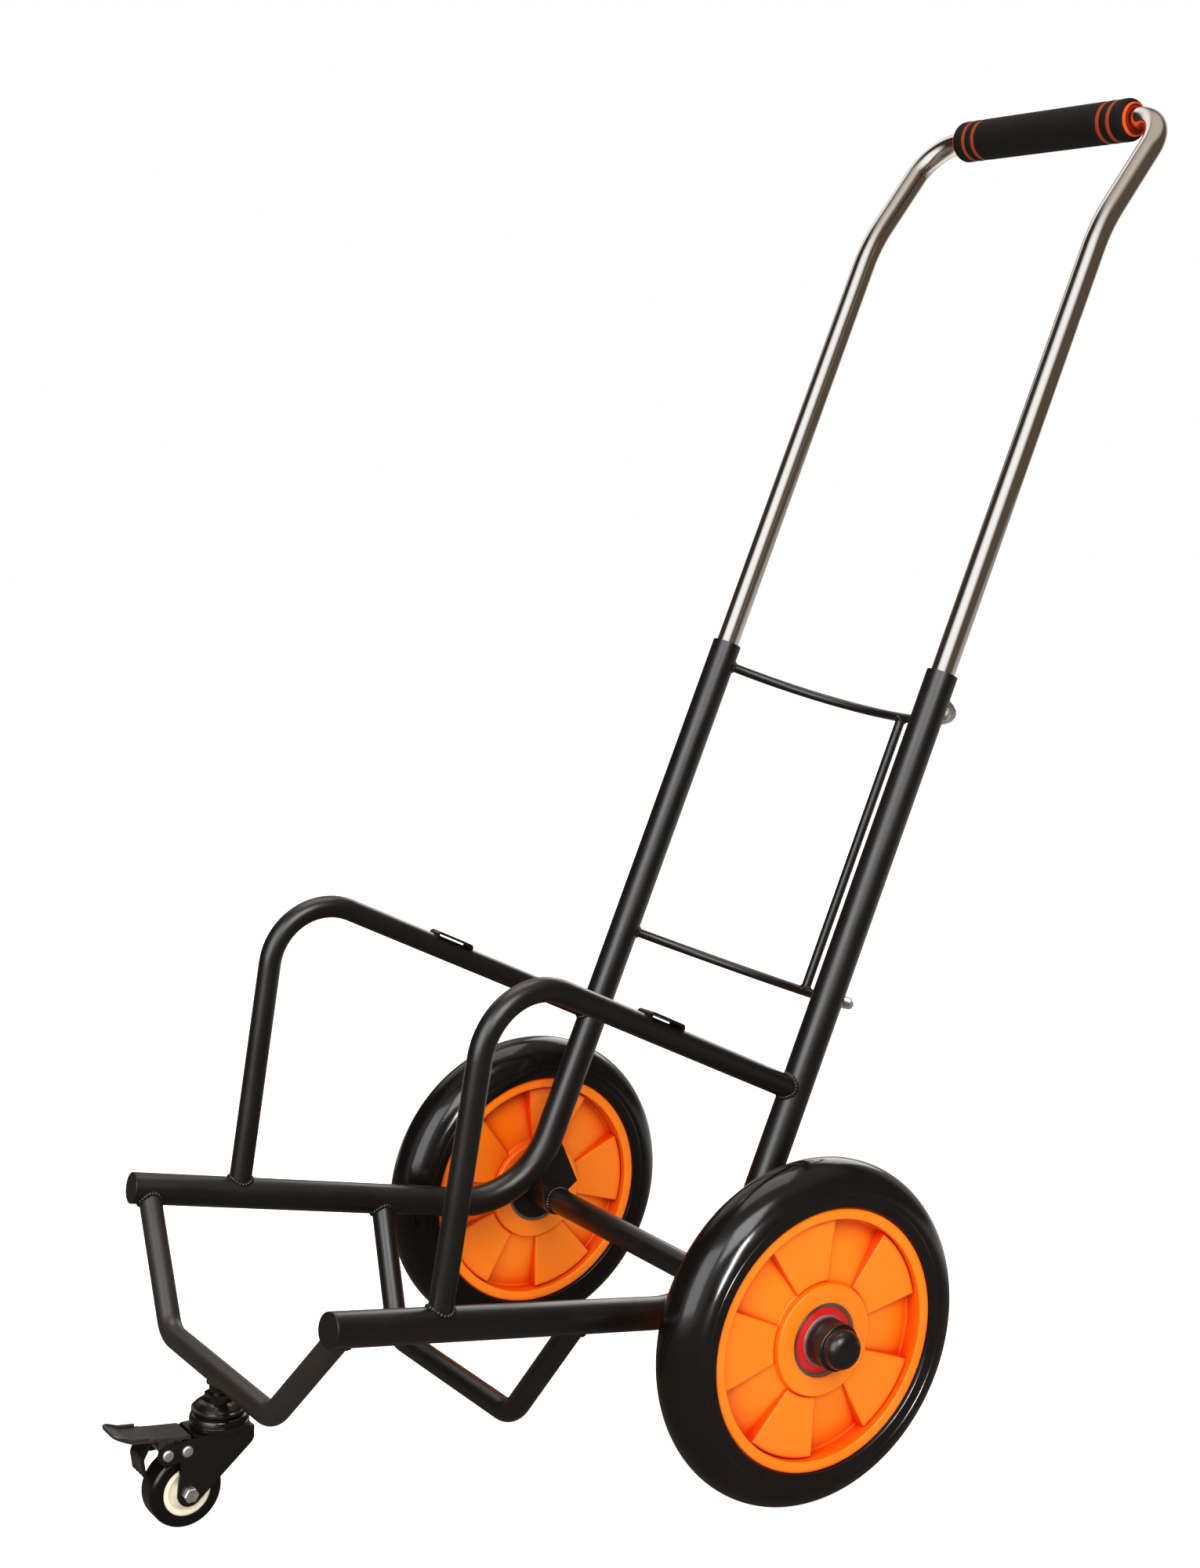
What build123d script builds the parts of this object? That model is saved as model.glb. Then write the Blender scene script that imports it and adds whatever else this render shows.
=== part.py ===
from build123d import *
import math
import os

# Water jug hand truck: a welded tube frame on two large wheels and a front caster,
# with a chrome handle that slides down into the uprights.
# X runs across the truck, -Y is the front, +Z is up, the ground is Z = 0.
# The origin is on the ground, half way between the caster pedal's tip and the back of the grip.

# Big wheels
wheel_radius = 134.0
wheel_mid = 201.0
tyre_section_radius = 24.4
rim_radius = 102.0
rim_width = 43.8
rim_lip = 8.8
rim_draft = 1.2
rim_key_height = 4.0
rim_key_width = 14.0
web_wall = 4.0
spoke_count = 5
spoke_angle_right = 67.5
spoke_angle_left = 39.5
spoke_recess_at_hub = 7.5
spoke_recess_at_lip = 15.5
pocket_depth = 34.5
pocket_angle = 34.0
pocket_hub_slope = 6.0
pocket_land = 0.8
back_pocket_angle = 31.5
hub_radius = 43.0
hub_recess = 1.6
hub_wall = 14.5
bearing_shoulder_radius = 24.0
bearing_width = 14.0
bearing_inset = 1.2
outer_race_wall = 2.6
inner_race_wall = 4.0
seal_thickness = 1.6
seal_inset = 0.5
seal_clearance = 0.3

# Axle and its brackets
shaft_diameter = 17.0
axle_tube_diameter = 22.0
axle_tube_wall = 2.0
bracket_thickness = 5.0
bracket_offset = 7.0
bracket_lobe_radius = 13.0
bracket_corner_back = 19.7
bracket_corner_rise = 14.8
bracket_top_along = 79.0
bracket_front_along = 47.0
spacer_diameter = 25.0
spacer_flange_thickness = 1.5
spacer_flange_clearance = 0.3
washer_diameter = 39.0
washer_thickness = 2.0
stud_diameter = 12.0
stud_length = 15.0
wheel_nut_flats = 18.0
wheel_nut_height = 10.0
cap_base_radius = 18.4
cap_base_length = 17.0
cap_collar_round = 1.4
cap_nose_radius = 15.6
cap_nose_round = 9.0
cap_length = 28.5
cap_wall = 1.6
cap_nose_wall = 4.6

# Side tubes: one bent tube each side is both the load rail and the upright
tube_diameter = 25.0
tube_wall = 1.5
frame_half_width = 140.0
corner_ahead = 39.3
corner_above_axle = 4.0
rail_length = 351.5
rail_rise_angle = 10.0
rail_splay_angle = 4.9
upright_length = 520.4
upright_lean_angle = 22.2
tube_bend_radius = 80.0
end_cap_thickness = 2.5
end_cap_round = 0.8
end_cap_plug_length = 12.0
end_cap_plug_wall = 2.0

# Hoops that hold the jug at both sides
hoop_diameter = 18.0
hoop_wall = 1.5
hoop_foot_along = 263.5
hoop_corner_out = 165.5
hoop_corner_ahead = 261.0
hoop_corner_above_axle = 301.5
hoop_end_along = 177.0
hoop_bend_radius = 50.0

# Strap loops on the hoops' top bars
strap_loop_place = 0.51
strap_loop_length = 36.0
strap_loop_width = 16.0
strap_loop_thickness = 2.0
strap_loop_gap = 1.4
strap_loop_bend = 3.0

# U brackets under the rails
u_bend_radius = 25.0
u_bottom_half_width = 88.3
front_u_foot_inset = 12.0
front_u_drop = 88.9
front_u_lean = 15.0
rear_u_foot_along = 136.2
rear_u_drop = 94.5
rear_u_lean = 17.2

# Back rods that cradle the jug
rod_diameter = 8.0
upper_rod_below_top = 17.8
lower_rod_along = 254.7
rod_bow = 97.5

# Sliding handle
leg_diameter = 19.0
leg_wall = 1.2
leg_insert = 115.0
leg_out = 381.8
handle_top_length = 116.0
handle_top_angle = 37.4
handle_knee_radius = 150.0
handle_corner_radius = 36.0
handle_travel = 330.0
bush_length = 20.0
bush_clearance = 0.2
ferrule_length = 20.0
ferrule_clearance = 0.3

# Foam grip
grip_diameter = 35.0
grip_round = 6.0
ring_width = 4.6
ring_depth = 2.5
ring_count = 2
first_ring_inset = 17.5
ring_pitch = 11.5
end_ring_width = 3.2
end_ring_step = 3.0
end_ring_round = 1.6
end_ring_dish = 2.0

# Spring buttons that lock the handle
button_diameter = 10.4
button_protrusion = 5.0
button_dome_share = 0.96
button_travel = 4.0
button_turn = 20.0
button_below_top = 29.0
button_clearance = 0.3
leg_hole_diameter = 11.4
clip_width = 6.0
clip_thickness = 0.8
clip_length = 38.0
clip_bend = 2.0
clip_clearance = 1.0

# Studs for the luggage cord
cord_stud_diameter = 6.0
cord_stud_protrusion = 6.0
cord_stud_round = 1.5
cord_stud_below_top = 265.0
cord_stud_turn = 35.0

# Front caster
caster_radius = 28.0
caster_width = 22.0
caster_trail = 29.6
tread_round = 4.0
core_radius = 18.5
core_inset = 0.5
core_bore_clearance = 0.15
core_dish_radius = 13.6
core_hub_radius = 8.0
core_dish_depth = 3.5
stem_diameter = 15.0
stem_length = 9.7
stem_flats = 19.0
stem_nut_height = 5.0
race_radius = 20.5
race_height = 8.5
race_round = 5.9
cup_radius = 22.0
cup_height = 10.5
cup_round = 3.5
cup_groove = 1.2
cup_groove_rise = 4.2
swivel_gap = 0.5
king_pin_diameter = 10.0
king_pin_clearance = 0.4
king_pin_head_radius = 8.0
king_pin_head_height = 2.2
fork_sheet = 2.0
cheek_inner = 13.6
fork_plate_ahead = 24.0
fork_plate_behind = 21.0
cheek_lobe_radius = 9.5
cheek_pivot_radius = 7.5
heel_radius = 7.5
sleeve_radius = 5.0
caster_bolt_diameter = 6.0
caster_bolt_flats = 10.0
caster_bolt_head = 4.0
caster_bolt_chamfer = 0.6
caster_nut_height = 5.0
bolt_tip = 1.5
rivet_diameter = 5.0
rivet_head_diameter = 8.4
rivet_head_height = 1.8
rivet_head_round = 1.4
rear_rivet_ahead = 31.5

# Brake on the caster
pedal_pivot_ahead = 46.6
pedal_pivot_height = 61.0
pedal_half_width = 14.0
pedal_corner_round = 7.0
pedal_neck_ahead = 10.5
pedal_sheet = 2.2
pedal_tip_ahead = 86.6
pedal_tip_height = 82.0
pedal_paddle_length = 26.0
pedal_paddle_rise = 6.0
pedal_rear_ahead = 28.0
pedal_rise = 9.0
pedal_bend_radius = 6.0
pedal_ear_thickness = 1.6
pedal_ear_radius = 6.0
shoe_half_width = 10.5
shoe_sheet = 2.5
shoe_tooth_depth = 3.0
shoe_tooth_gap = 1.8
shoe_tooth_count = 4
shoe_foot_ahead = 62.0
shoe_foot_height = 46.5
shoe_bulge = 7.0
running_clearance = 0.4

# Places worked out from the sizes above
lean = math.radians(upright_lean_angle)
rise = math.radians(rail_rise_angle)
splay = math.radians(rail_splay_angle)
grip_lean = math.radians(handle_top_angle)
axle_height = wheel_radius
front_u_foot_along = rail_length - front_u_foot_inset
upper_rod_along = upright_length - upper_rod_below_top
front_u_bottom_ahead = (
    corner_ahead
    + front_u_foot_along * math.cos(rise) * math.cos(splay)
    + front_u_lean
)
front_reach = front_u_bottom_ahead + pedal_tip_ahead
back_reach = (
    (upright_length + leg_out) * math.sin(lean)
    - corner_ahead
    + handle_top_length * math.sin(grip_lean)
    + grip_diameter / 2
)
axle_y = (front_reach - back_reach) / 2
swivel_y = axle_y - front_u_bottom_ahead
up_the_upright = Vector(0, math.sin(lean), math.cos(lean))
behind_the_upright = Vector(0, math.cos(lean), -math.sin(lean))
along_the_handle_top = Vector(0, math.sin(grip_lean), math.cos(grip_lean))
axle_line = Axis((0, axle_y, axle_height), (1, 0, 0))
rim_face = wheel_mid + rim_width / 2
rim_back = wheel_mid - rim_width / 2
tube_bore = tube_diameter - 2 * tube_wall
leg_bore = leg_diameter - 2 * leg_wall
bearing_radius = hub_radius - hub_wall
bearing_face = rim_face - hub_recess - bearing_inset
bearing_back = rim_back + hub_recess + bearing_inset
plate_inner = frame_half_width + bracket_offset
plate_outer = plate_inner + bracket_thickness


def on_upright(side, along):
    """Point on an upright's centre line, measured up from the bent corner."""
    corner = Vector(side * frame_half_width, axle_y - corner_ahead, axle_height + corner_above_axle)
    return corner + up_the_upright * along


def on_rail(side, along):
    """Point on a rail's centre line, measured forward from the bent corner."""
    forward = Vector(
        side * math.sin(splay) * math.cos(rise),
        -math.cos(splay) * math.cos(rise),
        math.sin(rise),
    )
    return on_upright(side, 0) + forward * along


def behind_and_out(side, turn):
    """Direction square to an upright, turned outward from straight back."""
    outward = Vector(side * math.sin(math.radians(turn)), 0, 0)
    return behind_the_upright * math.cos(math.radians(turn)) + outward


def save(name, piece):
    """Label a finished piece and write it to its file."""
    piece.label = name
    export_step(piece, f"parts/{name}.step")


def save_pair(name, piece):
    """Write a right-hand piece and its mirror image for the left."""
    save(name + "_right", piece)
    with BuildPart() as other:
        mirror(piece, about=Plane.YZ)
    save(name + "_left", other.part)


def bar(points, diameter, wall=None, radius=None):
    """Round bar or tube along straight runs joined by arcs."""
    with BuildPart() as swept:
        with BuildLine() as route:
            if radius is None:
                Polyline(*points)
            else:
                FilletPolyline(*points, radius=radius)
        with BuildSketch(Plane(origin=route.line @ 0, z_dir=route.line % 0)):
            Circle(diameter / 2)
            if wall is not None:
                Circle(diameter / 2 - wall, mode=Mode.SUBTRACT)
        sweep()
    return swept.part


def trimmed(piece, *obstacles):
    """A piece cut back to the surfaces of the pieces that it is welded to."""
    with BuildPart() as fitted:
        add(piece)
        for obstacle in obstacles:
            add(obstacle, mode=Mode.SUBTRACT)
    return fitted.part


def ring(plane, outer, inner, length):
    """Plain ring or disc standing on a plane."""
    with BuildPart() as turned:
        with BuildSketch(plane):
            Circle(outer)
            if inner > 0:
                Circle(inner, mode=Mode.SUBTRACT)
        extrude(amount=length)
    return turned.part


def axle_plane(out):
    """Plane square to the axle on the right-hand side, facing outward."""
    return Plane(origin=(out, axle_y, axle_height), x_dir=(0, 1, 0), z_dir=(1, 0, 0))


def wheel_section(angle):
    """Plane through the axle at an angle round the wheel, with local X to the right and local Y outward."""
    turn = math.radians(angle)
    return Plane(
        origin=(0, axle_y, axle_height),
        x_dir=(1, 0, 0),
        z_dir=(0, -math.sin(turn), math.cos(turn)),
    )


def side_plane(x):
    """Upright plane along the truck, with local X to the back and local Y up."""
    return Plane(origin=(x, 0, 0), x_dir=(0, 1, 0), z_dir=(1, 0, 0))


os.makedirs("parts", exist_ok=True)

# Side tubes with their button holes, and the solid shapes that other tubes are coped to
side_tubes = {}
side_solids = {}
for side, word in ((1, "right"), (-1, "left")):
    side_route = [on_rail(side, rail_length), on_rail(side, 0), on_upright(side, upright_length)]
    side_solids[side] = bar(side_route, tube_diameter, radius=tube_bend_radius)
    blank = bar(side_route, tube_diameter, tube_wall, tube_bend_radius)
    button_place = on_upright(side, upright_length - button_below_top)
    with BuildPart() as side_tube:
        add(blank)
        with BuildSketch(Plane(origin=button_place, z_dir=behind_and_out(side, button_turn))):
            Circle(button_diameter / 2 + button_clearance)
        extrude(amount=tube_diameter, mode=Mode.SUBTRACT)
    side_tubes[side] = side_tube.part
    save(f"side_tube_{word}", side_tube.part)

# Plastic plugs in the open rail ends
rail_out = (on_rail(1, rail_length) - on_rail(1, 0)).normalized()
with BuildPart() as rail_end_cap:
    with BuildSketch(Plane(origin=on_rail(1, rail_length), z_dir=rail_out)):
        Circle(tube_diameter / 2)
    extrude(amount=end_cap_thickness)
    fillet(rail_end_cap.faces().sort_by(Axis(on_rail(1, 0), rail_out))[-1].edges(), end_cap_round)
    with BuildSketch(Plane(origin=on_rail(1, rail_length), z_dir=rail_out)):
        Circle(tube_bore / 2)
        Circle(tube_bore / 2 - end_cap_plug_wall, mode=Mode.SUBTRACT)
    extrude(amount=-end_cap_plug_length)
save_pair("rail_end_cap", rail_end_cap.part)

# Hoops, coped to the rail at the foot and to the upright at the back
hoop_route = [
    on_rail(1, hoop_foot_along),
    Vector(hoop_corner_out, axle_y - hoop_corner_ahead, axle_height + hoop_corner_above_axle),
    on_upright(1, hoop_end_along),
]
hoop_blank = bar(hoop_route, hoop_diameter, hoop_wall, hoop_bend_radius)
save_pair("hoop", trimmed(hoop_blank, side_solids[1]))

# Strap loops: a bent strip welded on top of each hoop's bar
top_bar = hoop_route[2] - hoop_route[1]
top_bar_along = top_bar.normalized()
top_bar_side = top_bar_along.cross(Vector(0, 0, 1)).normalized()
loop_plane = Plane(
    origin=hoop_route[1] + top_bar * strap_loop_place,
    x_dir=top_bar_along,
    z_dir=top_bar_side,
)
loop_height = hoop_diameter / 2 + strap_loop_gap + strap_loop_thickness
loop_hollow = strap_loop_length - 2 * strap_loop_thickness
hoop_solid = bar(hoop_route, hoop_diameter, radius=hoop_bend_radius)
with BuildPart() as strap_loop:
    with BuildSketch(loop_plane) as loop_side:
        with Locations((0, loop_height / 2)):
            Rectangle(strap_loop_length, loop_height)
        fillet(loop_side.vertices(), strap_loop_bend)
        with Locations((0, (loop_height - strap_loop_thickness) / 2)):
            Rectangle(loop_hollow, loop_height - strap_loop_thickness, mode=Mode.SUBTRACT)
    extrude(amount=strap_loop_width / 2, both=True)
save_pair("strap_loop", trimmed(strap_loop.part, hoop_solid))

# U brackets that join the rails underneath, the front one over the caster
u_solids = {}
for name, foot_along, drop, forward in (
    ("front_u_bracket", front_u_foot_along, front_u_drop, front_u_lean),
    ("rear_u_bracket", rear_u_foot_along, rear_u_drop, rear_u_lean),
):
    foot = on_rail(1, foot_along)
    bottom = Vector(u_bottom_half_width, foot.Y - forward, foot.Z - drop)
    u_route = [
        foot,
        bottom,
        Vector(-bottom.X, bottom.Y, bottom.Z),
        Vector(-foot.X, foot.Y, foot.Z),
    ]
    u_solids[name] = bar(u_route, hoop_diameter, radius=u_bend_radius)
    u_blank = bar(u_route, hoop_diameter, hoop_wall, u_bend_radius)
    save(name, trimmed(u_blank, side_solids[1], side_solids[-1]))
front_u_bottom_height = on_rail(1, front_u_foot_along).Z - front_u_drop

# Back rods: two arcs bowed back between the uprights and one spine down their middles
rod_solids = []
rod_middles = []
for name, along in (("upper_back_rod", upper_rod_along), ("lower_back_rod", lower_rod_along)):
    right_end = on_upright(1, along)
    left_end = on_upright(-1, along)
    middle = (right_end + left_end) / 2 + behind_the_upright * rod_bow
    with BuildPart() as rod:
        with BuildLine() as rod_arc:
            ThreePointArc(right_end, middle, left_end)
        with BuildSketch(Plane(origin=rod_arc.line @ 0, z_dir=rod_arc.line % 0)):
            Circle(rod_diameter / 2)
        sweep()
    rod_solids.append(rod.part)
    rod_middles.append(middle)
    save(name, trimmed(rod.part, side_solids[1], side_solids[-1]))
spine_blank = bar(rod_middles, rod_diameter)
save("spine_rod", trimmed(spine_blank, *rod_solids))

# Axle cross tube and the gusset plates that hang it behind the bends
shaft_end = bearing_face + washer_thickness + stud_length
shaft_shoulder = bearing_face
save("axle_tube", ring(axle_plane(-plate_inner), axle_tube_diameter / 2,
                       axle_tube_diameter / 2 - axle_tube_wall, 2 * plate_inner))
with BuildPart() as axle_shaft:
    with BuildSketch(axle_plane(-shaft_end)):
        Circle(stud_diameter / 2)
    extrude(amount=2 * shaft_end)
    with BuildSketch(axle_plane(-shaft_shoulder)):
        Circle(shaft_diameter / 2)
    extrude(amount=2 * shaft_shoulder)
save("axle_shaft", axle_shaft.part)
plate_top = on_upright(1, bracket_top_along)
plate_front = on_upright(1, bracket_front_along)
with BuildPart() as axle_bracket:
    with BuildSketch(side_plane(plate_inner)):
        with Locations((axle_y, axle_height)):
            Circle(bracket_lobe_radius)
        with BuildLine():
            Polyline(
                (axle_y + bracket_corner_back, axle_height + bracket_corner_rise),
                (plate_top.Y, plate_top.Z),
                (plate_front.Y, plate_front.Z),
                (axle_y - bracket_lobe_radius, axle_height),
                (axle_y, axle_height),
                close=True,
            )
        make_face()
        with Locations((axle_y, axle_height)):
            Circle(shaft_diameter / 2, mode=Mode.SUBTRACT)
    extrude(amount=bracket_thickness)
    add(side_solids[1], mode=Mode.SUBTRACT)
save_pair("axle_bracket", axle_bracket.part)

# Wheel rims: lip, hub and a web pocketed deep from the right and, behind each wedge spoke, from the left.
# Both wheels are the same moulding, fitted the same way round.
hub_middle = rim_width - 2 * (hub_recess + bearing_inset + bearing_width)
lip_inner_radius = rim_radius - rim_lip


def rim_sector(middle, outline, middle_angle, angle):
    """Solid turned through part of a circle, its outline in distances from the rim's middle and the axle."""
    with BuildPart() as sector:
        with BuildSketch(wheel_section(middle_angle - angle / 2)):
            with BuildLine():
                Polyline(*[(middle + across, radius) for across, radius in outline], close=True)
            make_face()
        revolve(axis=axle_line, revolution_arc=angle)
    return sector.part


spoke_at_hub = rim_width / 2 - spoke_recess_at_hub
spoke_at_lip = rim_width / 2 - spoke_recess_at_lip
pocket_floor = rim_width / 2 - pocket_depth
web_back = pocket_floor - web_wall
pocket_inner = hub_radius + pocket_land
pocket_outer = lip_inner_radius - pocket_land
front_outline = [
    (rim_width / 2, pocket_inner),
    (spoke_at_hub, pocket_inner),
    (pocket_floor, pocket_inner + pocket_hub_slope),
    (pocket_floor, pocket_outer),
    (rim_width / 2, pocket_outer),
]
back_outline = [
    (spoke_at_hub - web_wall, pocket_inner),
    (spoke_at_lip - web_wall, pocket_outer),
    (-rim_width / 2, pocket_outer),
    (-rim_width / 2, pocket_inner),
]
for word, middle, first_angle in (
    ("right", wheel_mid, spoke_angle_right),
    ("left", -wheel_mid, spoke_angle_left),
):
    with BuildPart() as rim:
        with BuildSketch(wheel_section(90)):
            with Locations((middle, rim_radius - rim_lip / 2)):
                Trapezoid(rim_width, rim_lip, 90 - math.degrees(math.atan2(rim_draft, rim_lip)), rotation=180)
            with Locations((middle, rim_radius + rim_key_height / 2)):
                Rectangle(rim_key_width, rim_key_height)
            with BuildLine():
                Polyline(
                    (middle + spoke_at_hub, hub_radius),
                    (middle + spoke_at_lip, lip_inner_radius),
                    (middle + web_back, lip_inner_radius),
                    (middle + web_back, hub_radius),
                    close=True,
                )
            make_face()
            with Locations((middle, (hub_radius + bearing_radius) / 2)):
                Rectangle(rim_width - 2 * hub_recess, hub_radius - bearing_radius)
            with Locations((middle, (bearing_radius + bearing_shoulder_radius) / 2)):
                Rectangle(hub_middle, bearing_radius - bearing_shoulder_radius)
        revolve(axis=axle_line)
        for spoke in range(spoke_count):
            spoke_angle = first_angle + spoke * 360 / spoke_count
            add(rim_sector(middle, back_outline, spoke_angle, back_pocket_angle), mode=Mode.SUBTRACT)
            between = spoke_angle + 180 / spoke_count
            add(rim_sector(middle, front_outline, between, pocket_angle), mode=Mode.SUBTRACT)
    save(f"rim_{word}", rim.part)

# Solid tyres, keyed on the rims
tyre_middle_radius = wheel_radius - tyre_section_radius
with BuildPart() as tyre:
    with BuildSketch(wheel_section(90)):
        with Locations((wheel_mid, tyre_middle_radius)):
            Circle(tyre_section_radius)
        with Locations((wheel_mid, rim_radius / 2)):
            Rectangle(2 * tyre_section_radius, rim_radius, mode=Mode.SUBTRACT)
        with Locations((wheel_mid, rim_radius + rim_key_height / 2)):
            Rectangle(rim_key_width, rim_key_height, mode=Mode.SUBTRACT)
    revolve(axis=axle_line)
save_pair("tyre", tyre.part)

# Ball bearings, two in each hub: the outer races and seals turn with the wheel
inner_race_radius = shaft_diameter / 2 + inner_race_wall
with BuildPart() as outer_races:
    for place in (bearing_back, bearing_face - bearing_width):
        with BuildSketch(axle_plane(place)):
            Circle(bearing_radius)
            Circle(bearing_radius - outer_race_wall, mode=Mode.SUBTRACT)
        extrude(amount=bearing_width)
save_pair("bearing_outer_races", outer_races.part)
with BuildPart() as inner_races:
    for place in (bearing_back, bearing_face - bearing_width):
        with BuildSketch(axle_plane(place)):
            Circle(inner_race_radius)
            Circle(shaft_diameter / 2, mode=Mode.SUBTRACT)
        extrude(amount=bearing_width)
save_pair("bearing_inner_races", inner_races.part)
with BuildPart() as bearing_seals:
    for place in (bearing_back + seal_inset, bearing_face - seal_inset - seal_thickness):
        with BuildSketch(axle_plane(place)):
            Circle(bearing_radius - outer_race_wall)
            Circle(inner_race_radius + seal_clearance, mode=Mode.SUBTRACT)
        extrude(amount=seal_thickness)
save_pair("bearing_seals", bearing_seals.part)

# Spacers whose flanges shield the inner bearings, and the sleeves, washers and nuts that hold the wheels
flange_radius = bearing_radius - outer_race_wall - spacer_flange_clearance
with BuildPart() as wheel_spacer:
    add(ring(axle_plane(plate_outer), spacer_diameter / 2, shaft_diameter / 2, bearing_back - plate_outer))
    add(ring(axle_plane(bearing_back - spacer_flange_thickness), flange_radius,
             shaft_diameter / 2, spacer_flange_thickness))
save_pair("wheel_spacer", wheel_spacer.part)
sleeve_start = bearing_back + bearing_width
sleeve_length = bearing_face - bearing_width - sleeve_start
with BuildPart() as hub_sleeves:
    for start in (sleeve_start, -sleeve_start - sleeve_length):
        with BuildSketch(axle_plane(start)):
            Circle(inner_race_radius)
            Circle(shaft_diameter / 2, mode=Mode.SUBTRACT)
        extrude(amount=sleeve_length)
save("hub_sleeves", hub_sleeves.part)
with BuildPart() as wheel_washers:
    for start in (bearing_face, -bearing_face - washer_thickness):
        with BuildSketch(axle_plane(start)):
            Circle(washer_diameter / 2)
            Circle(stud_diameter / 2, mode=Mode.SUBTRACT)
        extrude(amount=washer_thickness)
save("wheel_washers", wheel_washers.part)
nut_start = bearing_face + washer_thickness
with BuildPart() as wheel_nuts:
    for start in (nut_start, -nut_start - wheel_nut_height):
        with BuildSketch(axle_plane(start)):
            RegularPolygon(wheel_nut_flats / 2, 6, major_radius=False)
            Circle(stud_diameter / 2, mode=Mode.SUBTRACT)
        extrude(amount=wheel_nut_height)
save("wheel_nuts", wheel_nuts.part)

# Push-on caps over the nuts: a wide collar, a step and a domed nose
with BuildPart() as axle_cap:
    with BuildSketch(axle_plane(nut_start)):
        Circle(cap_base_radius)
    extrude(amount=cap_base_length)
    collar_rim = axle_cap.faces().sort_by(Axis.X)[-1].edges()
    fillet(collar_rim, cap_collar_round)
    with BuildSketch(axle_plane(nut_start)):
        Circle(cap_nose_radius)
    extrude(amount=cap_length)
    fillet(axle_cap.faces().sort_by(Axis.X)[-1].edges(), cap_nose_round)
    with BuildSketch(axle_plane(nut_start)):
        Circle(cap_base_radius - cap_wall)
    extrude(amount=cap_base_length - cap_wall, mode=Mode.SUBTRACT)
    with BuildSketch(axle_plane(nut_start)):
        Circle(cap_nose_radius - cap_nose_wall)
    extrude(amount=cap_length - cap_wall, mode=Mode.SUBTRACT)
save_pair("axle_cap", axle_cap.part)

# Handle: one bent chrome tube whose legs slide in the uprights
handle_route = []
for side in (-1, 1):
    leg_end = on_upright(side, upright_length - leg_insert)
    knee = on_upright(side, upright_length + leg_out)
    handle_corner = knee + along_the_handle_top * handle_top_length
    stretch = [leg_end, knee, handle_corner]
    handle_route += stretch if side < 0 else stretch[::-1]
handle_bends = [handle_knee_radius, handle_corner_radius, handle_corner_radius, handle_knee_radius]
handle_blank = bar(handle_route, leg_diameter, leg_wall, handle_bends)
with BuildPart() as handle_tube:
    add(handle_blank)
    for side in (-1, 1):
        for raised in (0, handle_travel):
            hole_place = on_upright(side, upright_length - button_below_top + raised)
            with BuildSketch(Plane(origin=hole_place, z_dir=behind_and_out(side, button_turn))):
                Circle(leg_hole_diameter / 2)
            extrude(amount=leg_diameter, mode=Mode.SUBTRACT)
save("handle_tube", handle_tube.part)

# Bushes that guide the legs, and ferrules on the legs' lower ends
bush_plane = Plane(origin=on_upright(1, upright_length - bush_length), z_dir=up_the_upright)
save_pair("guide_bush", ring(bush_plane, tube_bore / 2, leg_diameter / 2 + bush_clearance, bush_length))
ferrule_plane = Plane(origin=on_upright(1, upright_length - leg_insert), z_dir=up_the_upright)
save_pair("leg_ferrule", ring(ferrule_plane, tube_bore / 2 - ferrule_clearance,
                              leg_diameter / 2, ferrule_length))

# Domed lock buttons in the backs of the uprights
button_inner = leg_diameter / 2 + running_clearance
button_length = tube_diameter / 2 + button_protrusion - button_inner
button_middle = on_upright(1, upright_length - button_below_top)
button_out = behind_and_out(1, button_turn)
with BuildPart() as lock_button:
    with BuildSketch(Plane(origin=button_middle + button_out * button_inner, z_dir=button_out)):
        Circle(button_diameter / 2)
    extrude(amount=button_length)
    button_face = lock_button.faces().sort_by(Axis(button_middle, button_out))[-1]
    fillet(button_face.edges(), min(button_protrusion, button_diameter / 2) * button_dome_share)
save_pair("lock_button", lock_button.part)

# Folded leaf springs inside the legs, behind the buttons
clip_pad = button_inner - button_travel - running_clearance - clip_thickness / 2
clip_back = -(leg_bore / 2 - clip_thickness / 2 - clip_clearance)
with BuildPart() as button_clip:
    with BuildSketch(Plane(origin=button_middle, x_dir=button_out,
                           z_dir=button_out.cross(up_the_upright))):
        with BuildLine():
            FilletPolyline(
                (clip_pad, clip_width / 2),
                (clip_pad, -clip_width / 2),
                (0, -clip_length),
                (clip_back, -clip_length),
                (clip_back, clip_width / 2),
                radius=clip_bend,
            )
        trace(line_width=clip_thickness)
    extrude(amount=clip_width / 2, both=True)
save_pair("button_clip", button_clip.part)

# Foam grip with coloured rings set into it and a dished ring at each end
grip_middle = (handle_route[2] + handle_route[3]) / 2
grip_half = frame_half_width - handle_corner_radius
foam_half = grip_half - end_ring_width


def grip_plane(x):
    """Plane square to the grip's axis, facing right."""
    return Plane(origin=(x, grip_middle.Y, grip_middle.Z), x_dir=(0, 1, 0), z_dir=(1, 0, 0))


ring_places = []
for place in range(ring_count):
    ring_place = grip_half - first_ring_inset - place * ring_pitch
    ring_places += [ring_place, -ring_place]
with BuildPart() as grip_foam:
    with BuildSketch(grip_plane(-foam_half)):
        Circle(grip_diameter / 2)
    extrude(amount=2 * foam_half)
    fillet(grip_foam.edges().filter_by(GeomType.CIRCLE), grip_round)
    with BuildSketch(grip_plane(-foam_half)):
        Circle(leg_diameter / 2)
    extrude(amount=2 * foam_half, mode=Mode.SUBTRACT)
    for place in ring_places:
        with BuildSketch(grip_plane(place - ring_width / 2)):
            Circle(grip_diameter / 2 + ring_depth)
            Circle(grip_diameter / 2 - ring_depth, mode=Mode.SUBTRACT)
        extrude(amount=ring_width, mode=Mode.SUBTRACT)
save("grip_foam", grip_foam.part)
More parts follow.
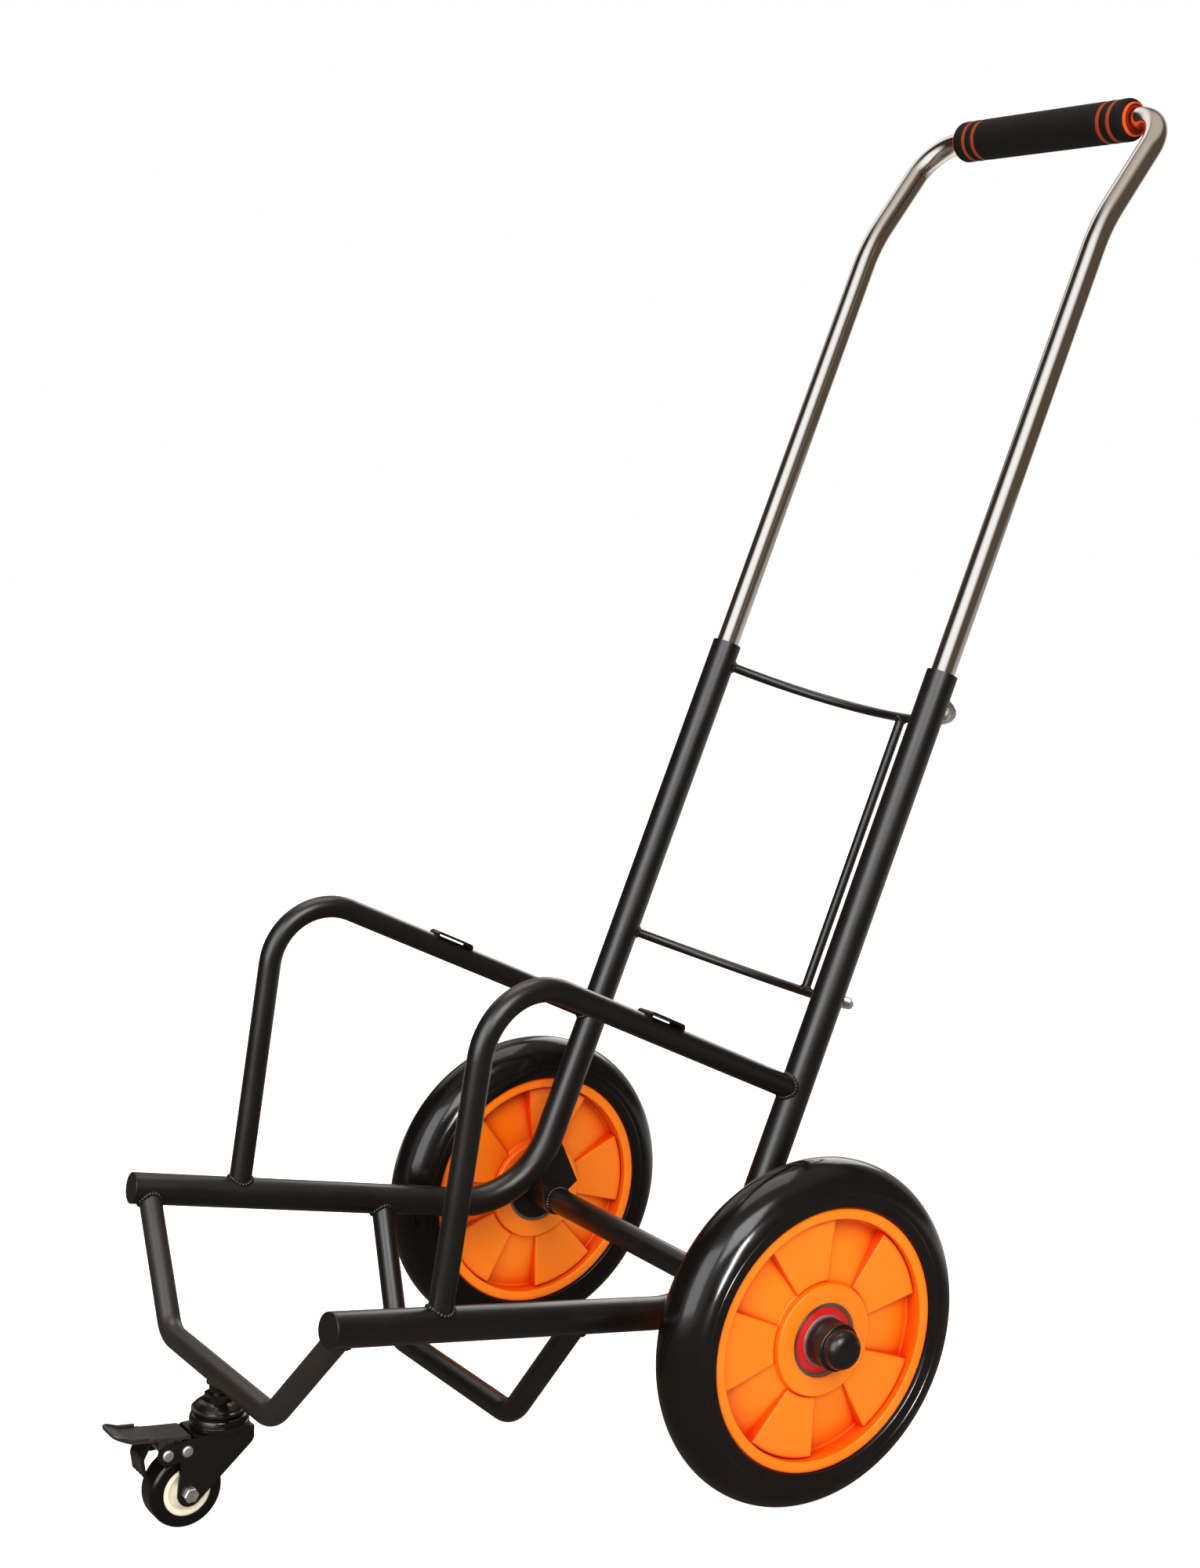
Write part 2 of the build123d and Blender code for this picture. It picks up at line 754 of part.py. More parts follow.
with BuildPart() as grip_rings:
    for place in ring_places:
        with BuildSketch(grip_plane(place - ring_width / 2)):
            Circle(grip_diameter / 2)
            Circle(grip_diameter / 2 - ring_depth, mode=Mode.SUBTRACT)
        extrude(amount=ring_width)
save("grip_rings", grip_rings.part)
end_ring_radius = grip_diameter / 2 - end_ring_step
with BuildPart() as grip_end_rings:
    with BuildSketch(grip_plane(foam_half)):
        Circle(end_ring_radius)
    extrude(amount=end_ring_width)
    end_face = grip_end_rings.faces().sort_by(Axis.X)[-1]
    fillet(end_face.edges(), end_ring_round)
    with BuildSketch(grip_plane(foam_half)):
        Circle(leg_diameter / 2)
    extrude(amount=end_ring_width, mode=Mode.SUBTRACT)
    with BuildSketch(grip_plane(grip_half - end_ring_dish)):
        Circle(end_ring_radius - end_ring_width)
    extrude(amount=end_ring_dish, mode=Mode.SUBTRACT)
    mirror(about=Plane.YZ)
save("grip_end_rings", grip_end_rings.part)

# Studs that the luggage cord hooks over
stud_middle = on_upright(1, upright_length - cord_stud_below_top)
stud_out = behind_and_out(1, cord_stud_turn)
with BuildPart() as cord_studs:
    with BuildSketch(Plane(origin=stud_middle, z_dir=stud_out)):
        Circle(cord_stud_diameter / 2)
    extrude(amount=tube_diameter / 2 + cord_stud_protrusion)
    fillet(cord_studs.faces().sort_by(Axis(stud_middle, stud_out))[-1].edges(), cord_stud_round)
    add(side_solids[1], mode=Mode.SUBTRACT)
    mirror(about=Plane.YZ)
save("cord_studs", cord_studs.part)

# Caster stem: a plain stud welded under the front bracket, with a nut and the king pin below
race_top = front_u_bottom_height - hoop_diameter / 2 - stem_length
cup_top = race_top - race_height - swivel_gap
fork_top = cup_top - cup_height
fork_under = fork_top - fork_sheet
pin_end = fork_under - running_clearance - king_pin_head_height


def swivel_plane(height):
    """Level plane centred on the caster's swivel axis."""
    return Plane(origin=(0, swivel_y, height))


with BuildPart() as caster_stem:
    with BuildSketch(swivel_plane(race_top)):
        Circle(stem_diameter / 2)
    extrude(amount=front_u_bottom_height - race_top)
    with BuildSketch(swivel_plane(race_top)):
        RegularPolygon(stem_flats / 2, 6, major_radius=False)
    extrude(amount=stem_nut_height)
    with BuildSketch(swivel_plane(pin_end)):
        Circle(king_pin_diameter / 2)
    extrude(amount=race_top - pin_end)
    with BuildSketch(swivel_plane(pin_end)):
        Circle(king_pin_head_radius)
    extrude(amount=king_pin_head_height)
    add(u_solids["front_u_bracket"], mode=Mode.SUBTRACT)
save("caster_stem", caster_stem.part)

# Swivel race on the stem, and the cup that turns under it with the fork
with BuildPart() as swivel_race:
    with BuildSketch(swivel_plane(race_top - race_height)):
        Circle(race_radius)
    extrude(amount=race_height)
    fillet(swivel_race.faces().sort_by(Axis.Z)[-1].edges(), race_round)
    with BuildSketch(swivel_plane(race_top - race_height)):
        Circle(king_pin_diameter / 2)
    extrude(amount=race_height, mode=Mode.SUBTRACT)
save("swivel_race", swivel_race.part)
with BuildPart() as swivel_cup:
    with BuildSketch(swivel_plane(fork_top)):
        Circle(cup_radius)
    extrude(amount=cup_height)
    fillet(swivel_cup.faces().sort_by(Axis.Z)[-1].edges(), cup_round)
    with BuildSketch(swivel_plane(fork_top + cup_groove_rise)):
        Circle(cup_radius + cup_groove)
        Circle(cup_radius - cup_groove, mode=Mode.SUBTRACT)
    extrude(amount=cup_groove, mode=Mode.SUBTRACT)
    with BuildSketch(swivel_plane(fork_top)):
        Circle(king_pin_diameter / 2 + king_pin_clearance)
    extrude(amount=cup_height, mode=Mode.SUBTRACT)
save("swivel_cup", swivel_cup.part)

# Fork: one bent sheet with a top plate and two tapering cheeks
wheel_place = (swivel_y - caster_trail, caster_radius)
pivot_place = (swivel_y - pedal_pivot_ahead, pedal_pivot_height)
rear_rivet_place = (swivel_y - rear_rivet_ahead, pedal_pivot_height)
heel_place = (swivel_y + fork_plate_behind - heel_radius, fork_top - heel_radius)
with BuildPart() as caster_fork:
    with BuildSketch(side_plane(cheek_inner)):
        with BuildSketch(mode=Mode.PRIVATE) as band:
            with Locations(pivot_place):
                Circle(cheek_pivot_radius)
            with Locations(heel_place):
                Circle(heel_radius)
            make_hull()
        with BuildSketch(mode=Mode.PRIVATE) as leg:
            with Locations(wheel_place):
                Circle(cheek_lobe_radius)
            with Locations(heel_place):
                Circle(heel_radius)
            with Locations(rear_rivet_place):
                Circle(rivet_head_diameter / 2)
            make_hull()
        add(band.sketch)
        add(leg.sketch)
        with Locations((swivel_y + (fork_plate_behind - fork_plate_ahead) / 2, fork_top - heel_radius / 2)):
            Rectangle(fork_plate_ahead + fork_plate_behind, heel_radius)
        with Locations(wheel_place):
            Circle(caster_bolt_diameter / 2, mode=Mode.SUBTRACT)
        with Locations(pivot_place, rear_rivet_place):
            Circle(rivet_diameter / 2, mode=Mode.SUBTRACT)
    extrude(amount=fork_sheet)
    mirror(about=Plane.YZ)
    with BuildSketch(swivel_plane(fork_under)):
        with Locations((0, (fork_plate_behind - fork_plate_ahead) / 2)):
            Rectangle(2 * (cheek_inner + fork_sheet), fork_plate_ahead + fork_plate_behind)
    extrude(amount=fork_sheet)
    with BuildSketch(swivel_plane(fork_under)):
        Circle(king_pin_diameter / 2 + king_pin_clearance)
    extrude(amount=fork_sheet, mode=Mode.SUBTRACT)
save("caster_fork", caster_fork.part)

# Rivets through both cheeks: the pedal's pivot and a spacer rivet behind it
with BuildPart() as caster_rivets:
    with BuildSketch(side_plane(0)):
        with Locations(pivot_place, rear_rivet_place):
            Circle(rivet_diameter / 2)
    extrude(amount=cheek_inner + fork_sheet, both=True)
    for start in (cheek_inner + fork_sheet, -cheek_inner - fork_sheet - rivet_head_height):
        with BuildSketch(side_plane(start)):
            with Locations(pivot_place, rear_rivet_place):
                Circle(rivet_head_diameter / 2)
        extrude(amount=rivet_head_height)
    for end in (Axis.X, -Axis.X):
        fillet(caster_rivets.faces().sort_by(end)[-2:].edges(), rivet_head_round)
save("caster_rivets", caster_rivets.part)

# Small wheel: tread, dished core, sleeve, bolt and nut
with BuildPart() as caster_tread:
    with BuildSketch(side_plane(0)):
        with Locations(wheel_place):
            Circle(caster_radius)
    extrude(amount=caster_width / 2, both=True)
    fillet(caster_tread.edges().filter_by(GeomType.CIRCLE), tread_round)
    with BuildSketch(side_plane(0)):
        with Locations(wheel_place):
            Circle(core_radius)
    extrude(amount=caster_width, both=True, mode=Mode.SUBTRACT)
save("caster_tread", caster_tread.part)
core_half = caster_width / 2 - core_inset
with BuildPart() as caster_core:
    with BuildSketch(side_plane(0)):
        with Locations(wheel_place):
            Circle(core_radius)
    extrude(amount=core_half, both=True)
    for start, direction in ((core_half, -1), (-core_half, 1)):
        with BuildSketch(side_plane(start)):
            with Locations(wheel_place):
                Circle(core_dish_radius)
        extrude(amount=direction * core_dish_depth, mode=Mode.SUBTRACT)
    with BuildSketch(side_plane(0)):
        with Locations(wheel_place):
            Circle(core_hub_radius)
    extrude(amount=cheek_inner - running_clearance, both=True)
    with BuildSketch(side_plane(0)):
        with Locations(wheel_place):
            Circle(sleeve_radius + core_bore_clearance)
    extrude(amount=cheek_inner, both=True, mode=Mode.SUBTRACT)
save("caster_core", caster_core.part)
with BuildPart() as caster_sleeve:
    with BuildSketch(side_plane(0)):
        with Locations(wheel_place):
            Circle(sleeve_radius)
            Circle(caster_bolt_diameter / 2, mode=Mode.SUBTRACT)
    extrude(amount=cheek_inner, both=True)
save("caster_sleeve", caster_sleeve.part)
cheek_outer = cheek_inner + fork_sheet
with BuildPart() as caster_bolt:
    with BuildSketch(side_plane(-cheek_outer - caster_nut_height - bolt_tip)):
        with Locations(wheel_place):
            Circle(caster_bolt_diameter / 2)
    extrude(amount=2 * cheek_outer + caster_nut_height + bolt_tip)
    with BuildSketch(side_plane(cheek_outer)):
        with Locations(wheel_place):
            RegularPolygon(caster_bolt_flats / 2, 6, major_radius=False)
    extrude(amount=caster_bolt_head)
    chamfer(caster_bolt.faces().sort_by(Axis.X)[-1].edges(), caster_bolt_chamfer)
save("caster_bolt", caster_bolt.part)
with BuildPart() as caster_nut:
    with BuildSketch(side_plane(-cheek_outer - caster_nut_height)):
        with Locations(wheel_place):
            RegularPolygon(caster_bolt_flats / 2, 6, major_radius=False)
            Circle(caster_bolt_diameter / 2, mode=Mode.SUBTRACT)
    extrude(amount=caster_nut_height)
save("caster_nut", caster_nut.part)

# Brake pedal: a bent paddle with two ears on the pivot rivet
pedal_line = [
    (swivel_y - pedal_rear_ahead, pedal_pivot_height + pedal_rise),
    (swivel_y - pedal_pivot_ahead, pedal_pivot_height + pedal_rise + pedal_sheet),
    (swivel_y - pedal_tip_ahead + pedal_paddle_length / 2, pedal_tip_height - pedal_paddle_rise),
    (swivel_y - pedal_tip_ahead, pedal_tip_height),
]
paddle_start = swivel_y - pedal_pivot_ahead - pedal_neck_ahead
ear_outer = cheek_inner - running_clearance
with BuildPart() as brake_pedal:
    with BuildSketch(side_plane(0)):
        with BuildLine():
            FilletPolyline(*pedal_line, radius=pedal_bend_radius)
        trace(line_width=pedal_sheet)
    extrude(amount=pedal_half_width, both=True)
    with BuildSketch() as plan:
        with Locations((0, (pedal_line[0][0] + paddle_start) / 2)):
            Rectangle(2 * ear_outer, pedal_line[0][0] - paddle_start + 2 * pedal_sheet)
        with Locations((0, (paddle_start + pedal_line[-1][0]) / 2)):
            Rectangle(2 * pedal_half_width, paddle_start - pedal_line[-1][0])
        fillet(plan.vertices().sort_by(Axis.Y)[:2], pedal_corner_round)
    extrude(amount=2 * pedal_tip_height, mode=Mode.INTERSECT)
    for start in (ear_outer - pedal_ear_thickness, -ear_outer):
        with BuildSketch(side_plane(start)):
            with Locations(pivot_place):
                Circle(pedal_ear_radius)
            with Locations((pivot_place[0], pivot_place[1] + (pedal_rise + pedal_sheet) / 2)):
                Rectangle(2 * pedal_ear_radius, pedal_rise + pedal_sheet)
            with Locations(pivot_place):
                Circle(rivet_diameter / 2 + running_clearance, mode=Mode.SUBTRACT)
        extrude(amount=pedal_ear_thickness)
save("brake_pedal", brake_pedal.part)

# Toothed shoe that the pedal swings in against the tread
shoe_top = (paddle_start, pedal_pivot_height + pedal_rise + pedal_sheet)
shoe_foot = (swivel_y - shoe_foot_ahead, shoe_foot_height)
with BuildPart() as brake_shoe:
    with BuildSketch(side_plane(0)):
        with BuildLine():
            FilletPolyline(
                shoe_top,
                (shoe_top[0] - shoe_bulge, (shoe_top[1] + shoe_foot[1]) / 2),
                shoe_foot,
                radius=pedal_bend_radius,
            )
        trace(line_width=shoe_sheet)
    extrude(amount=shoe_half_width, both=True)
    tooth_pitch = 2 * shoe_half_width / shoe_tooth_count
    with BuildSketch(Plane.XZ.offset(-shoe_foot[0])):
        with Locations((0, shoe_foot[1])):
            with GridLocations(tooth_pitch, 0, shoe_tooth_count - 1, 1):
                Rectangle(shoe_tooth_gap, 2 * shoe_tooth_depth)
    extrude(amount=2 * shoe_sheet, both=True, mode=Mode.SUBTRACT)
    add(brake_pedal.part, mode=Mode.SUBTRACT)
save("brake_shoe", brake_shoe.part)
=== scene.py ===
import math

import bmesh
import bpy
from mathutils import Matrix, Vector


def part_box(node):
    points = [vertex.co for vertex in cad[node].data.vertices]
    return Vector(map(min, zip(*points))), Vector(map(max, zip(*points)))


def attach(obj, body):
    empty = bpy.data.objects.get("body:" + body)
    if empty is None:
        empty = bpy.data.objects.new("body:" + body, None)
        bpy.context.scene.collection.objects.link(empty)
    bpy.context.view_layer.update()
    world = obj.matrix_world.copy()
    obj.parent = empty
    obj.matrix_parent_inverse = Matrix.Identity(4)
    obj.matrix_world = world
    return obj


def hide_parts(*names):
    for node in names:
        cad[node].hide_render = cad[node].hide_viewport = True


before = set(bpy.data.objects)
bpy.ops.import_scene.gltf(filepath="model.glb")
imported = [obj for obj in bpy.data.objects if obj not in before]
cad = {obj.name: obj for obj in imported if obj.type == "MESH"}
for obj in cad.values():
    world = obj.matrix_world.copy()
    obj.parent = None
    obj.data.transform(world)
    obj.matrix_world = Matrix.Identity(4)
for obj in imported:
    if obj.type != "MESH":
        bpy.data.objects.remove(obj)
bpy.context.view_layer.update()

# Camera. The truck was photographed from the front, to its right and from above the wheels,
# with a lens of about 53 mm. The place is measured from the middle of the axle, in metres.
axle_low, axle_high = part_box("axle_tube")
axle = (axle_low + axle_high) / 2
camera_from_axle = Vector((1.47613, -1.06011, 0.64894))
camera_right = Vector((0.55425, 0.83187, 0.02955))
camera_up = Vector((-0.13517, 0.05493, 0.98935))
camera_back = camera_right.cross(camera_up)
lens_mm = 52.73
sensor_mm = 36.0

camera_data = bpy.data.cameras.new("camera")
camera_data.lens = lens_mm
camera_data.sensor_width = sensor_mm
camera = bpy.data.objects.new("camera", camera_data)
bpy.context.scene.collection.objects.link(camera)
turned = Matrix((camera_right, camera_up, camera_back)).transposed()
camera.matrix_world = Matrix.Translation(axle + camera_from_axle) @ turned.to_4x4()
bpy.context.scene.camera = camera
bpy.context.scene.view_settings.view_transform = "Standard"


# Studio. A white floor that runs on into a white surround, as for a catalogue picture. Polished
# things mirror other walls instead: white before the truck, brown to its right, pale above it,
# to its left and behind it, and for the rest a dark room with a dark floor.
def linear(hex_colour):
    """An sRGB hex colour as the linear values that Blender's sockets take."""
    shares = [int(hex_colour[place:place + 2], 16) / 255 for place in (1, 3, 5)]
    bent = [s / 12.92 if s <= 0.04045 else ((s + 0.055) / 1.055) ** 2.4 for s in shares]
    return (*bent, 1.0)


def add_node(tree, kind, settings=(), inputs=()):
    """Adds a node; settings are its own properties, inputs its sockets, each a value or a link."""
    node = tree.nodes.new(kind)
    for name, value in dict(settings).items():
        setattr(node, name, value)
    for name, value in dict(inputs).items():
        if isinstance(value, bpy.types.NodeSocket):
            tree.links.new(value, node.inputs[name])
        else:
            node.inputs[name].default_value = value
    return node


def new_material(name):
    """An empty node material and its tree."""
    material = bpy.data.materials.new(name)
    material.use_nodes = True
    material.node_tree.nodes.clear()
    return material, material.node_tree


# The eye sees the floor white. Polished things mirror it dark, and pale behind the truck.
floor_half = 6.0
floor_grey = "#e9e9e9"
floor_glow = 0.9
floor_mirrored = "#61584f"
floor_mirrored_behind = "#e2ddd6"
way_behind = (-0.57, 0.82, 0.0)
pale_from = 0.35
pale_full = 0.9
floor_mesh = bpy.data.meshes.new("floor")
floor_corners = [(x * floor_half, y * floor_half, 0.0) for x, y in ((-1, -1), (1, -1), (1, 1), (-1, 1))]
floor_mesh.from_pydata(floor_corners, [], [(0, 1, 2, 3)])
floor = bpy.data.objects.new("floor", floor_mesh)
bpy.context.scene.collection.objects.link(floor)
floor_paint, tree = new_material("white_floor")
rays = add_node(tree, "ShaderNodeLightPath")
glow_share = add_node(tree, "ShaderNodeMath", {"operation": "MULTIPLY"},
                      {0: rays.outputs["Is Camera Ray"], 1: floor_glow})
where = add_node(tree, "ShaderNodeTexCoord")
behind = add_node(tree, "ShaderNodeVectorMath", {"operation": "DOT_PRODUCT"},
                  {0: where.outputs["Object"], 1: way_behind})
behind_share = add_node(tree, "ShaderNodeMapRange", {"interpolation_type": "SMOOTHSTEP"}, {
    "Value": behind.outputs["Value"], "From Min": pale_from, "From Max": pale_full})
mirrored_floor = add_node(tree, "ShaderNodeMix", {"data_type": "RGBA"}, {
    0: behind_share.outputs[0], 6: linear(floor_mirrored), 7: linear(floor_mirrored_behind)})
floor_colour = add_node(tree, "ShaderNodeMix", {"data_type": "RGBA"}, {
    0: rays.outputs["Is Glossy Ray"], 6: linear(floor_grey), 7: mirrored_floor.outputs[2]})
glow = add_node(tree, "ShaderNodeEmission", (), {"Color": (1, 1, 1, 1), "Strength": glow_share.outputs[0]})
matt = add_node(tree, "ShaderNodeBsdfDiffuse", (), {"Color": floor_colour.outputs[2]})
both = add_node(tree, "ShaderNodeAddShader", (), {0: glow.outputs[0], 1: matt.outputs[0]})
add_node(tree, "ShaderNodeOutputMaterial", (), {"Surface": both.outputs[0]})
floor_mesh.materials.append(floor_paint)

# A wall is full within one angle of its direction and fades out by the other, in degrees.
surround_light = 0.24
dark_room = "#352c26"
studio_walls = {
    "brown_screens": {"colour": "#54473b", "towards": (0.87, 0.50, 0.0), "full": 40, "none": 90},
    "ceiling": {"colour": "#b8aea2", "towards": (0.1, 0.1, 1.0), "full": 26, "none": 50},
    "white_wall": {"colour": "#ffffff", "towards": (0.42, -0.82, 0.38), "full": 14, "none": 50},
    "pale_wall_behind": {"colour": "#b9b3aa", "towards": (-0.57, 0.82, 0.15), "full": 16, "none": 38},
    "left_screen": {"colour": "#f4efe8", "towards": (-0.80, 0.12, 0.60), "full": 12, "none": 26},
}
surround = bpy.data.worlds.new("surround")
surround.use_nodes = True
tree = surround.node_tree
tree.nodes.clear()
rays = add_node(tree, "ShaderNodeLightPath")
outward = add_node(tree, "ShaderNodeTexCoord")
mirrored = linear(dark_room)
for wall in studio_walls.values():
    nearness = add_node(tree, "ShaderNodeVectorMath", {"operation": "DOT_PRODUCT"},
                        {0: outward.outputs["Generated"], 1: Vector(wall["towards"]).normalized()})
    share = add_node(tree, "ShaderNodeMapRange", {"interpolation_type": "SMOOTHSTEP"}, {
        "Value": nearness.outputs["Value"],
        "From Min": math.cos(math.radians(wall["none"])),
        "From Max": math.cos(math.radians(wall["full"]))})
    blend = add_node(tree, "ShaderNodeMix", {"data_type": "RGBA"},
                     {0: share.outputs[0], 6: mirrored, 7: linear(wall["colour"])})
    mirrored = blend.outputs[2]
seen_colour = add_node(tree, "ShaderNodeMix", {"data_type": "RGBA"},
                       {0: rays.outputs["Is Glossy Ray"], 6: (1, 1, 1, 1), 7: mirrored})
seen = add_node(tree, "ShaderNodeMath", {"operation": "MAXIMUM"},
                {0: rays.outputs["Is Camera Ray"], 1: rays.outputs["Is Glossy Ray"]})
strength = add_node(tree, "ShaderNodeMapRange", (), {
    "Value": seen.outputs[0], "To Min": surround_light, "To Max": 1.0})
sky = add_node(tree, "ShaderNodeBackground", (), {
    "Color": seen_colour.outputs[2], "Strength": strength.outputs[0]})
add_node(tree, "ShaderNodeOutputWorld", (), {"Surface": sky.outputs[0]})
bpy.context.scene.world = surround

# Four soft boxes light the truck, all turned to a point in the middle of it.
soft_boxes = {
    "key_box": {"place": (1.15, -2.45, 1.55), "size": (1.9, 2.2), "watts": 62.0},
    "high_box": {"place": (2.3, -0.7, 2.3), "size": (1.6, 1.6), "watts": 74.0},
    "top_box": {"place": (-0.6, 0.2, 2.9), "size": (1.8, 1.8), "watts": 26.0},
    "box_behind": {"place": (-1.7, 2.2, 1.6), "size": (1.6, 1.6), "watts": 26.0},
}
aim = Vector((0.0, 0.0, 0.45))


def area_lamp(name, place, size, watts, target):
    """A rectangular lamp, turned to a target."""
    lamp_data = bpy.data.lights.new(name, "AREA")
    lamp_data.shape = "RECTANGLE"
    lamp_data.size, lamp_data.size_y = size
    lamp_data.energy = watts
    lamp = bpy.data.objects.new(name, lamp_data)
    lamp.location = place
    lamp.rotation_euler = (target - lamp.location).to_track_quat("-Z", "Y").to_euler()
    bpy.context.scene.collection.objects.link(lamp)
    return lamp


box_lamps = [area_lamp(name, box["place"], box["size"], box["watts"], aim)
             for name, box in soft_boxes.items()]


# Welded frame. Mild steel tube and rod, MIG welded and powder coated black: a smooth satin
# skin with a faint orange peel, near black, with a soft sheen where a light grazes it.
def paint_shade_in_hollows(tree, colour, shade_colour, reach_mm):
    """Paints shade into places whose walls are nearer than a reach: blends a shade colour into the colour
    there, and gives the blend.
    """
    openness = add_node(tree, "ShaderNodeAmbientOcclusion", (), {"Distance": reach_mm / 1000})
    share = add_node(tree, "ShaderNodeMapRange", (), {
        "Value": openness.outputs["AO"], "From Min": 0.3, "From Max": 0.85})
    return add_node(tree, "ShaderNodeMix", {"data_type": "RGBA"}, {
        0: share.outputs[0], 6: linear(shade_colour), 7: colour.outputs[2]})


def finish(name, colours, roughness, patch_mm, grain_mm, bump_mm, shader, hollow_shade=None):
    """A material whose colour and gloss wander in patches, over a fine grain in its skin. Shader
    holds its other sockets; the colour of a painted shade for its deep places and the reach of
    their walls come last."""
    material, tree = new_material(name)
    where = add_node(tree, "ShaderNodeTexCoord")
    patches = add_node(tree, "ShaderNodeTexNoise", (), {
        "Vector": where.outputs["Object"], "Scale": 1000 / patch_mm, "Detail": 5.0})
    grain = add_node(tree, "ShaderNodeTexNoise", (), {
        "Vector": where.outputs["Object"], "Scale": 1000 / grain_mm, "Detail": 2.0})
    tint = add_node(tree, "ShaderNodeMix", {"data_type": "RGBA"}, {
        0: patches.outputs[0], 6: linear(colours[0]), 7: linear(colours[1])})
    if hollow_shade:
        tint = paint_shade_in_hollows(tree, tint, *hollow_shade)
    gloss = add_node(tree, "ShaderNodeMapRange", (), {
        "Value": patches.outputs[0], "From Min": 0.3, "From Max": 0.7,
        "To Min": roughness[0], "To Max": roughness[1]})
    bump = add_node(tree, "ShaderNodeBump", (), {
        "Height": grain.outputs[0], "Strength": 0.6, "Distance": bump_mm / 1000})
    skin = add_node(tree, "ShaderNodeBsdfPrincipled", (), {
        "Base Color": tint.outputs[2], "Roughness": gloss.outputs[0], "Normal": bump.outputs[0], **shader})
    add_node(tree, "ShaderNodeOutputMaterial", (), {"Surface": skin.outputs[0]})
    return material


def dress(material, *names):
    """Gives a material to CAD nodes that keep their own shape."""
    for name in names:
        cad[name].data.materials.clear()
        cad[name].data.materials.append(material)


powder_coat = finish(
    "black_powder_coat", ("#0d0b0a", "#13100e"), roughness=(0.27, 0.35),
    patch_mm=40, grain_mm=1.6, bump_mm=0.05,
    shader={"IOR": 1.5, "Specular IOR Level": 0.5})
# The bracket over the caster is coated thinly and scuffed: browner and duller than the tubes.
dull_powder_coat = finish(
    "dull_black_powder_coat", ("#1c1714", "#251f1b"), roughness=(0.36, 0.46),
    patch_mm=40, grain_mm=1.2, bump_mm=0.06,
    shader={"IOR": 1.5, "Specular IOR Level": 0.6})
dress(powder_coat, "side_tube_right", "side_tube_left", "hoop_right", "hoop_left",
      "strap_loop_right", "strap_loop_left", "rear_u_bracket", "upper_back_rod", "lower_back_rod",
      "spine_rod", "axle_tube", "axle_bracket_right", "axle_bracket_left")
dress(dull_powder_coat, "front_u_bracket")


# Weld beads of the frame. Every tube is coped to its neighbour and welded all round: a rippled
# bead of filler 3 to 4 mm wide, powder coated with the rest, so that it glints here and there.
def rounded(points, radii, degrees=4.0):
    """Points along straight runs joined by arcs: a radius in millimetres for each corner, and no
    more than so many degrees from point to point."""
    points = [Vector(point) for point in points]
    line = [points[0]]
    for before, corner, after, radius in zip(points, points[1:], points[2:], radii):
        into = (corner - before).normalized()
        out = (after - corner).normalized()
        turn = into.angle(out)
        square = (out - into * out.dot(into)).normalized()
        start = corner - into * radius * math.tan(turn / 2)
        count = max(1, math.ceil(math.degrees(turn) / degrees))
        for place in range(count + 1):
            angle = turn * place / count
            line.append(start + into * radius * math.sin(angle) + square * radius * (1 - math.cos(angle)))
    line.append(points[-1])
    return line


def tube(path, radius, sides, bore=None, closed=False):
    """Vertices and faces of a round bar or tube along a path; its radius may be a function of how
    far along it is, from 0 to 1."""
    count = len(path)
    middle = sum(path, Vector((0, 0, 0))) / count
    vertices = []
    across = None
    for place, point in enumerate(path):
        before = path[place - 1] if place or closed else point
        after = path[(place + 1) % count] if place + 1 < count or closed else point
        ahead = (after - before).normalized()
        if closed:
            across = point - middle
        elif across is None:
            across = ahead.orthogonal()
        across = (across - ahead * across.dot(ahead)).normalized()
        other = ahead.cross(across)
        outer = radius(place / count) if callable(radius) else radius
        for size in (outer, bore) if bore else (outer,):
            for side in range(sides):
                turn = math.tau * side / sides
                vertices.append(point + (across * math.cos(turn) + other * math.sin(turn)) * size)
    layers = 2 if bore else 1
    ring = sides * layers
    faces = []
    for place in range(count if closed else count - 1):
        start = place * ring
        end = (place + 1) % count * ring
        for layer in range(layers):
            for side in range(sides):
                near = layer * sides + side
                far = layer * sides + (side + 1) % sides
                faces.append((start + near, start + far, end + far, end + near))
    if not closed:
        for start in (0, (count - 1) * ring):
            if bore:
                for side in range(sides):
                    far = (side + 1) % sides
                    faces.append((start + side, start + far, start + sides + far, start + sides + side))
            else:
                faces.append(tuple(start + side for side in range(sides)))
    return vertices, faces


def new_mesh(name, shape):
    """A mesh from vertices in millimetres and faces, which all come to face outward."""
    vertices, faces = shape
    mesh = bpy.data.meshes.new(name)
    mesh.from_pydata([Vector(vertex) / 1000 for vertex in vertices], [], faces)
    work = bmesh.new()
    work.from_mesh(mesh)
    bmesh.ops.remove_doubles(work, verts=work.verts, dist=1e-6)
    bmesh.ops.recalc_face_normals(work, faces=work.faces)
    work.to_mesh(mesh)
    work.free()
    return mesh


crease_degrees = 38.0


def new_piece(name, shape, material, body, sharp=crease_degrees):
    """An object from vertices in millimetres and faces, smooth but for edges sharper than an angle."""
    mesh = new_mesh(name, shape)
    mesh.polygons.foreach_set("use_smooth", [True] * len(mesh.polygons))
    mesh.set_sharp_from_angle(angle=math.radians(sharp))
    mesh.materials.append(material)
    piece = bpy.data.objects.new(name, mesh)
    bpy.context.scene.collection.objects.link(piece)
    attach(piece, body)
    return piece


side_radius = 12.5
hoop_radius = 9.0
rod_radius = 4.0
axle_tube_radius = 11.0
half_width = 140.0
lean = math.radians(22.2)
rise = math.radians(10.0)
splay = math.radians(4.9)
upright_length = 520.4
axle_mm = axle * 1000
bend_from_axle = Vector((0.0, -39.3, 4.0))
up_the_upright = Vector((0.0, math.sin(lean), math.cos(lean)))
behind_the_upright = Vector((0.0, math.cos(lean), -math.sin(lean)))


